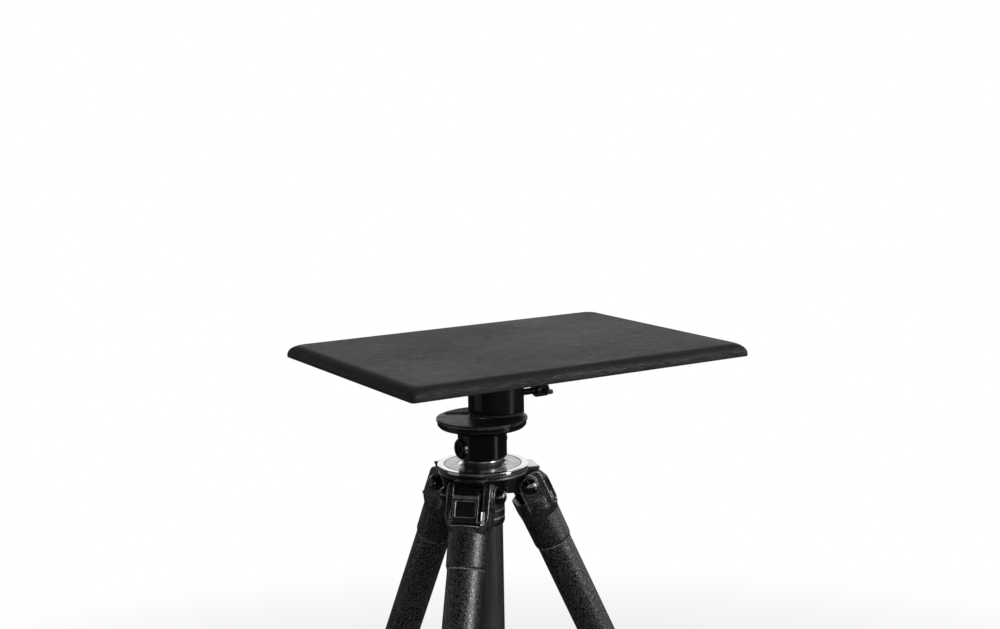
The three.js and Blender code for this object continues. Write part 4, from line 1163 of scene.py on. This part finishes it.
def make_foot(leg, place):
    """A rubber tip, worn flat where it stands."""
    bore = LOWER_R + 0.3
    shape = turned([
        (0, -1058.3), (bore, -1058.3), (bore, -1032, 0.3), (13.6, -1032, 0.8), (13.6, -1046, 0.4),
        (12.9, -1047, 0.4), (13.6, -1048, 0.4), (13.6, -1052, 1.5), (15, -1057, 2.5),
        (15, -1065.5, 7), (9.5, -1079.6, 6), (0, -1080.5)])
    below = Matrix.Translation((0, 0, -1065.5)) @ Matrix.Rotation(SPREAD, 4, "Y")
    cutter = moved(block((-30, -30, -40), (30, 30, -13.5)), below)
    put_mesh(f"foot_{leg}", combined(shape, ("cut", cutter)),
             place @ Matrix.Translation(LEG_SHIFT), CREASE)


make_board()
make_receiver()
make_clamp()
make_head()
make_top_plate()
make_spider()
YOKE = yoke_mesh()
STOP = stop_mesh()
for leg_number in LEGS:
    make_leg(leg_number, YOKE, STOP)


# Camera at the photograph's view

CAMERA_PLACE = Vector((-0.76124, -1.25904, 1.36942))
CAMERA_YAW = radians(31.08)
CAMERA_PITCH = radians(9.01)
CAMERA_ROLL = radians(-1)
FOCAL_PIXELS = 1483
PHOTO_WIDTH = 1000
SENSOR_WIDTH = 36


def make_camera():
    ahead = Vector((
        sin(CAMERA_YAW) * cos(CAMERA_PITCH),
        cos(CAMERA_YAW) * cos(CAMERA_PITCH),
        -sin(CAMERA_PITCH)))
    right = ahead.cross(Vector((0, 0, 1))).normalized()
    up = right.cross(ahead)
    cosine, sine = cos(CAMERA_ROLL), sin(CAMERA_ROLL)
    axes = Matrix((right * cosine + up * sine, up * cosine - right * sine, -ahead)).transposed()
    data = bpy.data.cameras.new("camera")
    data.sensor_width = SENSOR_WIDTH
    data.lens = FOCAL_PIXELS * SENSOR_WIDTH / PHOTO_WIDTH
    data.clip_start = 0.01
    data.clip_end = 200
    camera = shown_as("camera", data)
    camera.matrix_world = Matrix.Translation(CAMERA_PLACE) @ axes.to_4x4()
    bpy.context.scene.camera = camera


make_camera()


# Floor, background and lights

bpy.context.scene.view_settings.view_transform = "Standard"

# In metres from the origin
FLOOR_REACH = 40
FLOOR_WHITE_FROM = 1.1
FLOOR_WHITE_TO = 2.6
GLOSS_DIM_TO = 8
GLOSS_WHITE_FROM = 18
# Heights in a direction of length 1, and how the white band rises and sinks round the horizon
BACKDROP_TOP = 0.3
CEILING_FROM = 0.55
BAND_TILT = (-0.072, -0.12, 0)
DARK_SIDE = (-0.56, 0.33, 0)
ROOM_LEVEL = 0.03
WORLD_LIGHT = 0.6


def make_floor():
    """A pale floor that turns into the white background away from the object. In gloss it is
    dim near by and white only toward the horizon."""
    m = Surface("floor", 0.2, roughness=0.7)
    distance = m.vectors("LENGTH", m.place)["Value"]
    grain = m.noise(30, 3)
    m.link(m.mixed(m.steps(grain, 0.3, 0.7), 0.84, 0.88), m.shader.inputs["Base Color"])
    away = m.steps(distance, FLOOR_WHITE_FROM, FLOOR_WHITE_TO)
    paths, looked_at = m.light_path()
    in_gloss = m.steps(distance, GLOSS_DIM_TO, GLOSS_WHITE_FROM, ROOM_LEVEL, 1)
    glow = m.new("Emission", {"Strength": m.maths("MAXIMUM", looked_at, in_gloss)})
    lit = m.maths("MAXIMUM", m.times(away, looked_at), paths["Is Glossy Ray"])
    mix = m.new("MixShader", {0: lit, 1: m.shader.outputs[0], 2: glow.outputs[0]})
    m.link(mix.outputs[0], m.tree.nodes["Material Output"].inputs["Surface"])
    mesh = bpy.data.meshes.new("floor")
    reach = FLOOR_REACH
    corners = [(-reach, -reach, 0), (reach, -reach, 0), (reach, reach, 0), (-reach, reach, 0)]
    mesh.from_pydata(corners, [], [(0, 1, 2, 3)])
    mesh.materials.append(m.material)
    shown_as("floor", mesh)


def make_world():
    """White to look at, an even soft light on the object, and in gloss a white backdrop, higher
    at the back and lower at one side, under a dim ceiling."""
    world = bpy.data.worlds.new("studio")
    world.use_nodes = True
    bpy.context.scene.world = world
    w = Nodes(world.node_tree)
    direction = w.new("TexCoord").outputs["Generated"]
    tilt = w.vectors("DOT_PRODUCT", direction, BAND_TILT)["Value"]
    dark = w.vectors("DOT_PRODUCT", direction, DARK_SIDE)["Value"]
    height = w.plus(w.parts(direction)["Z"], w.plus(tilt, w.maths("MAXIMUM", dark, 0)))
    backdrop = w.steps(height, BACKDROP_TOP, CEILING_FROM, 1, ROOM_LEVEL, "SMOOTHSTEP")
    paths, looked_at = w.light_path()
    in_gloss = w.times(paths["Is Glossy Ray"], backdrop)
    even = w.times(w.maths("SUBTRACT", 1, paths["Is Glossy Ray"]), WORLD_LIGHT)
    background = w.tree.nodes["Background"]
    background.inputs["Color"].default_value = (1, 1, 1, 1)
    w.link(w.maths("MAXIMUM", looked_at, w.plus(in_gloss, even)), background.inputs["Strength"])


LIGHT_TARGET = Vector((AXIS.x, AXIS.y, PLATE_TOP))
# Name, bearing to the right of the camera as seen from the object in degrees, height over the
# plate, distance, width and height in metres, and power in watts
LAMPS = (
    ("softbox_right", 65, 0.8, 2.2, 1.05, 1.6, 38),
    ("panel_left", -80, 0.1, 2.4, 1.6, 2.2, 2),
    ("strip_low", 68, -0.6, 2.2, 0.45, 0.5, 0.9),
    ("overhead", 10, 2.4, 0.6, 1.8, 1.8, 15))


def area_light(name, bearing, height, distance, width, tall, power):
    """A soft box that faces the plate."""
    toward = Matrix.Rotation(-CAMERA_YAW + radians(bearing), 4, "Z") @ Vector((0, -1, 0))
    place = LIGHT_TARGET + toward * distance + Vector((0, 0, height))
    data = bpy.data.lights.new(name, "AREA")
    data.shape = "RECTANGLE"
    data.size = width
    data.size_y = tall
    data.energy = power
    light = shown_as(name, data)
    light.location = place
    light.rotation_mode = "QUATERNION"
    light.rotation_quaternion = (LIGHT_TARGET - place).to_track_quat("-Z", "Y")


make_floor()
make_world()
for lamp in LAMPS:
    area_light(*lamp)
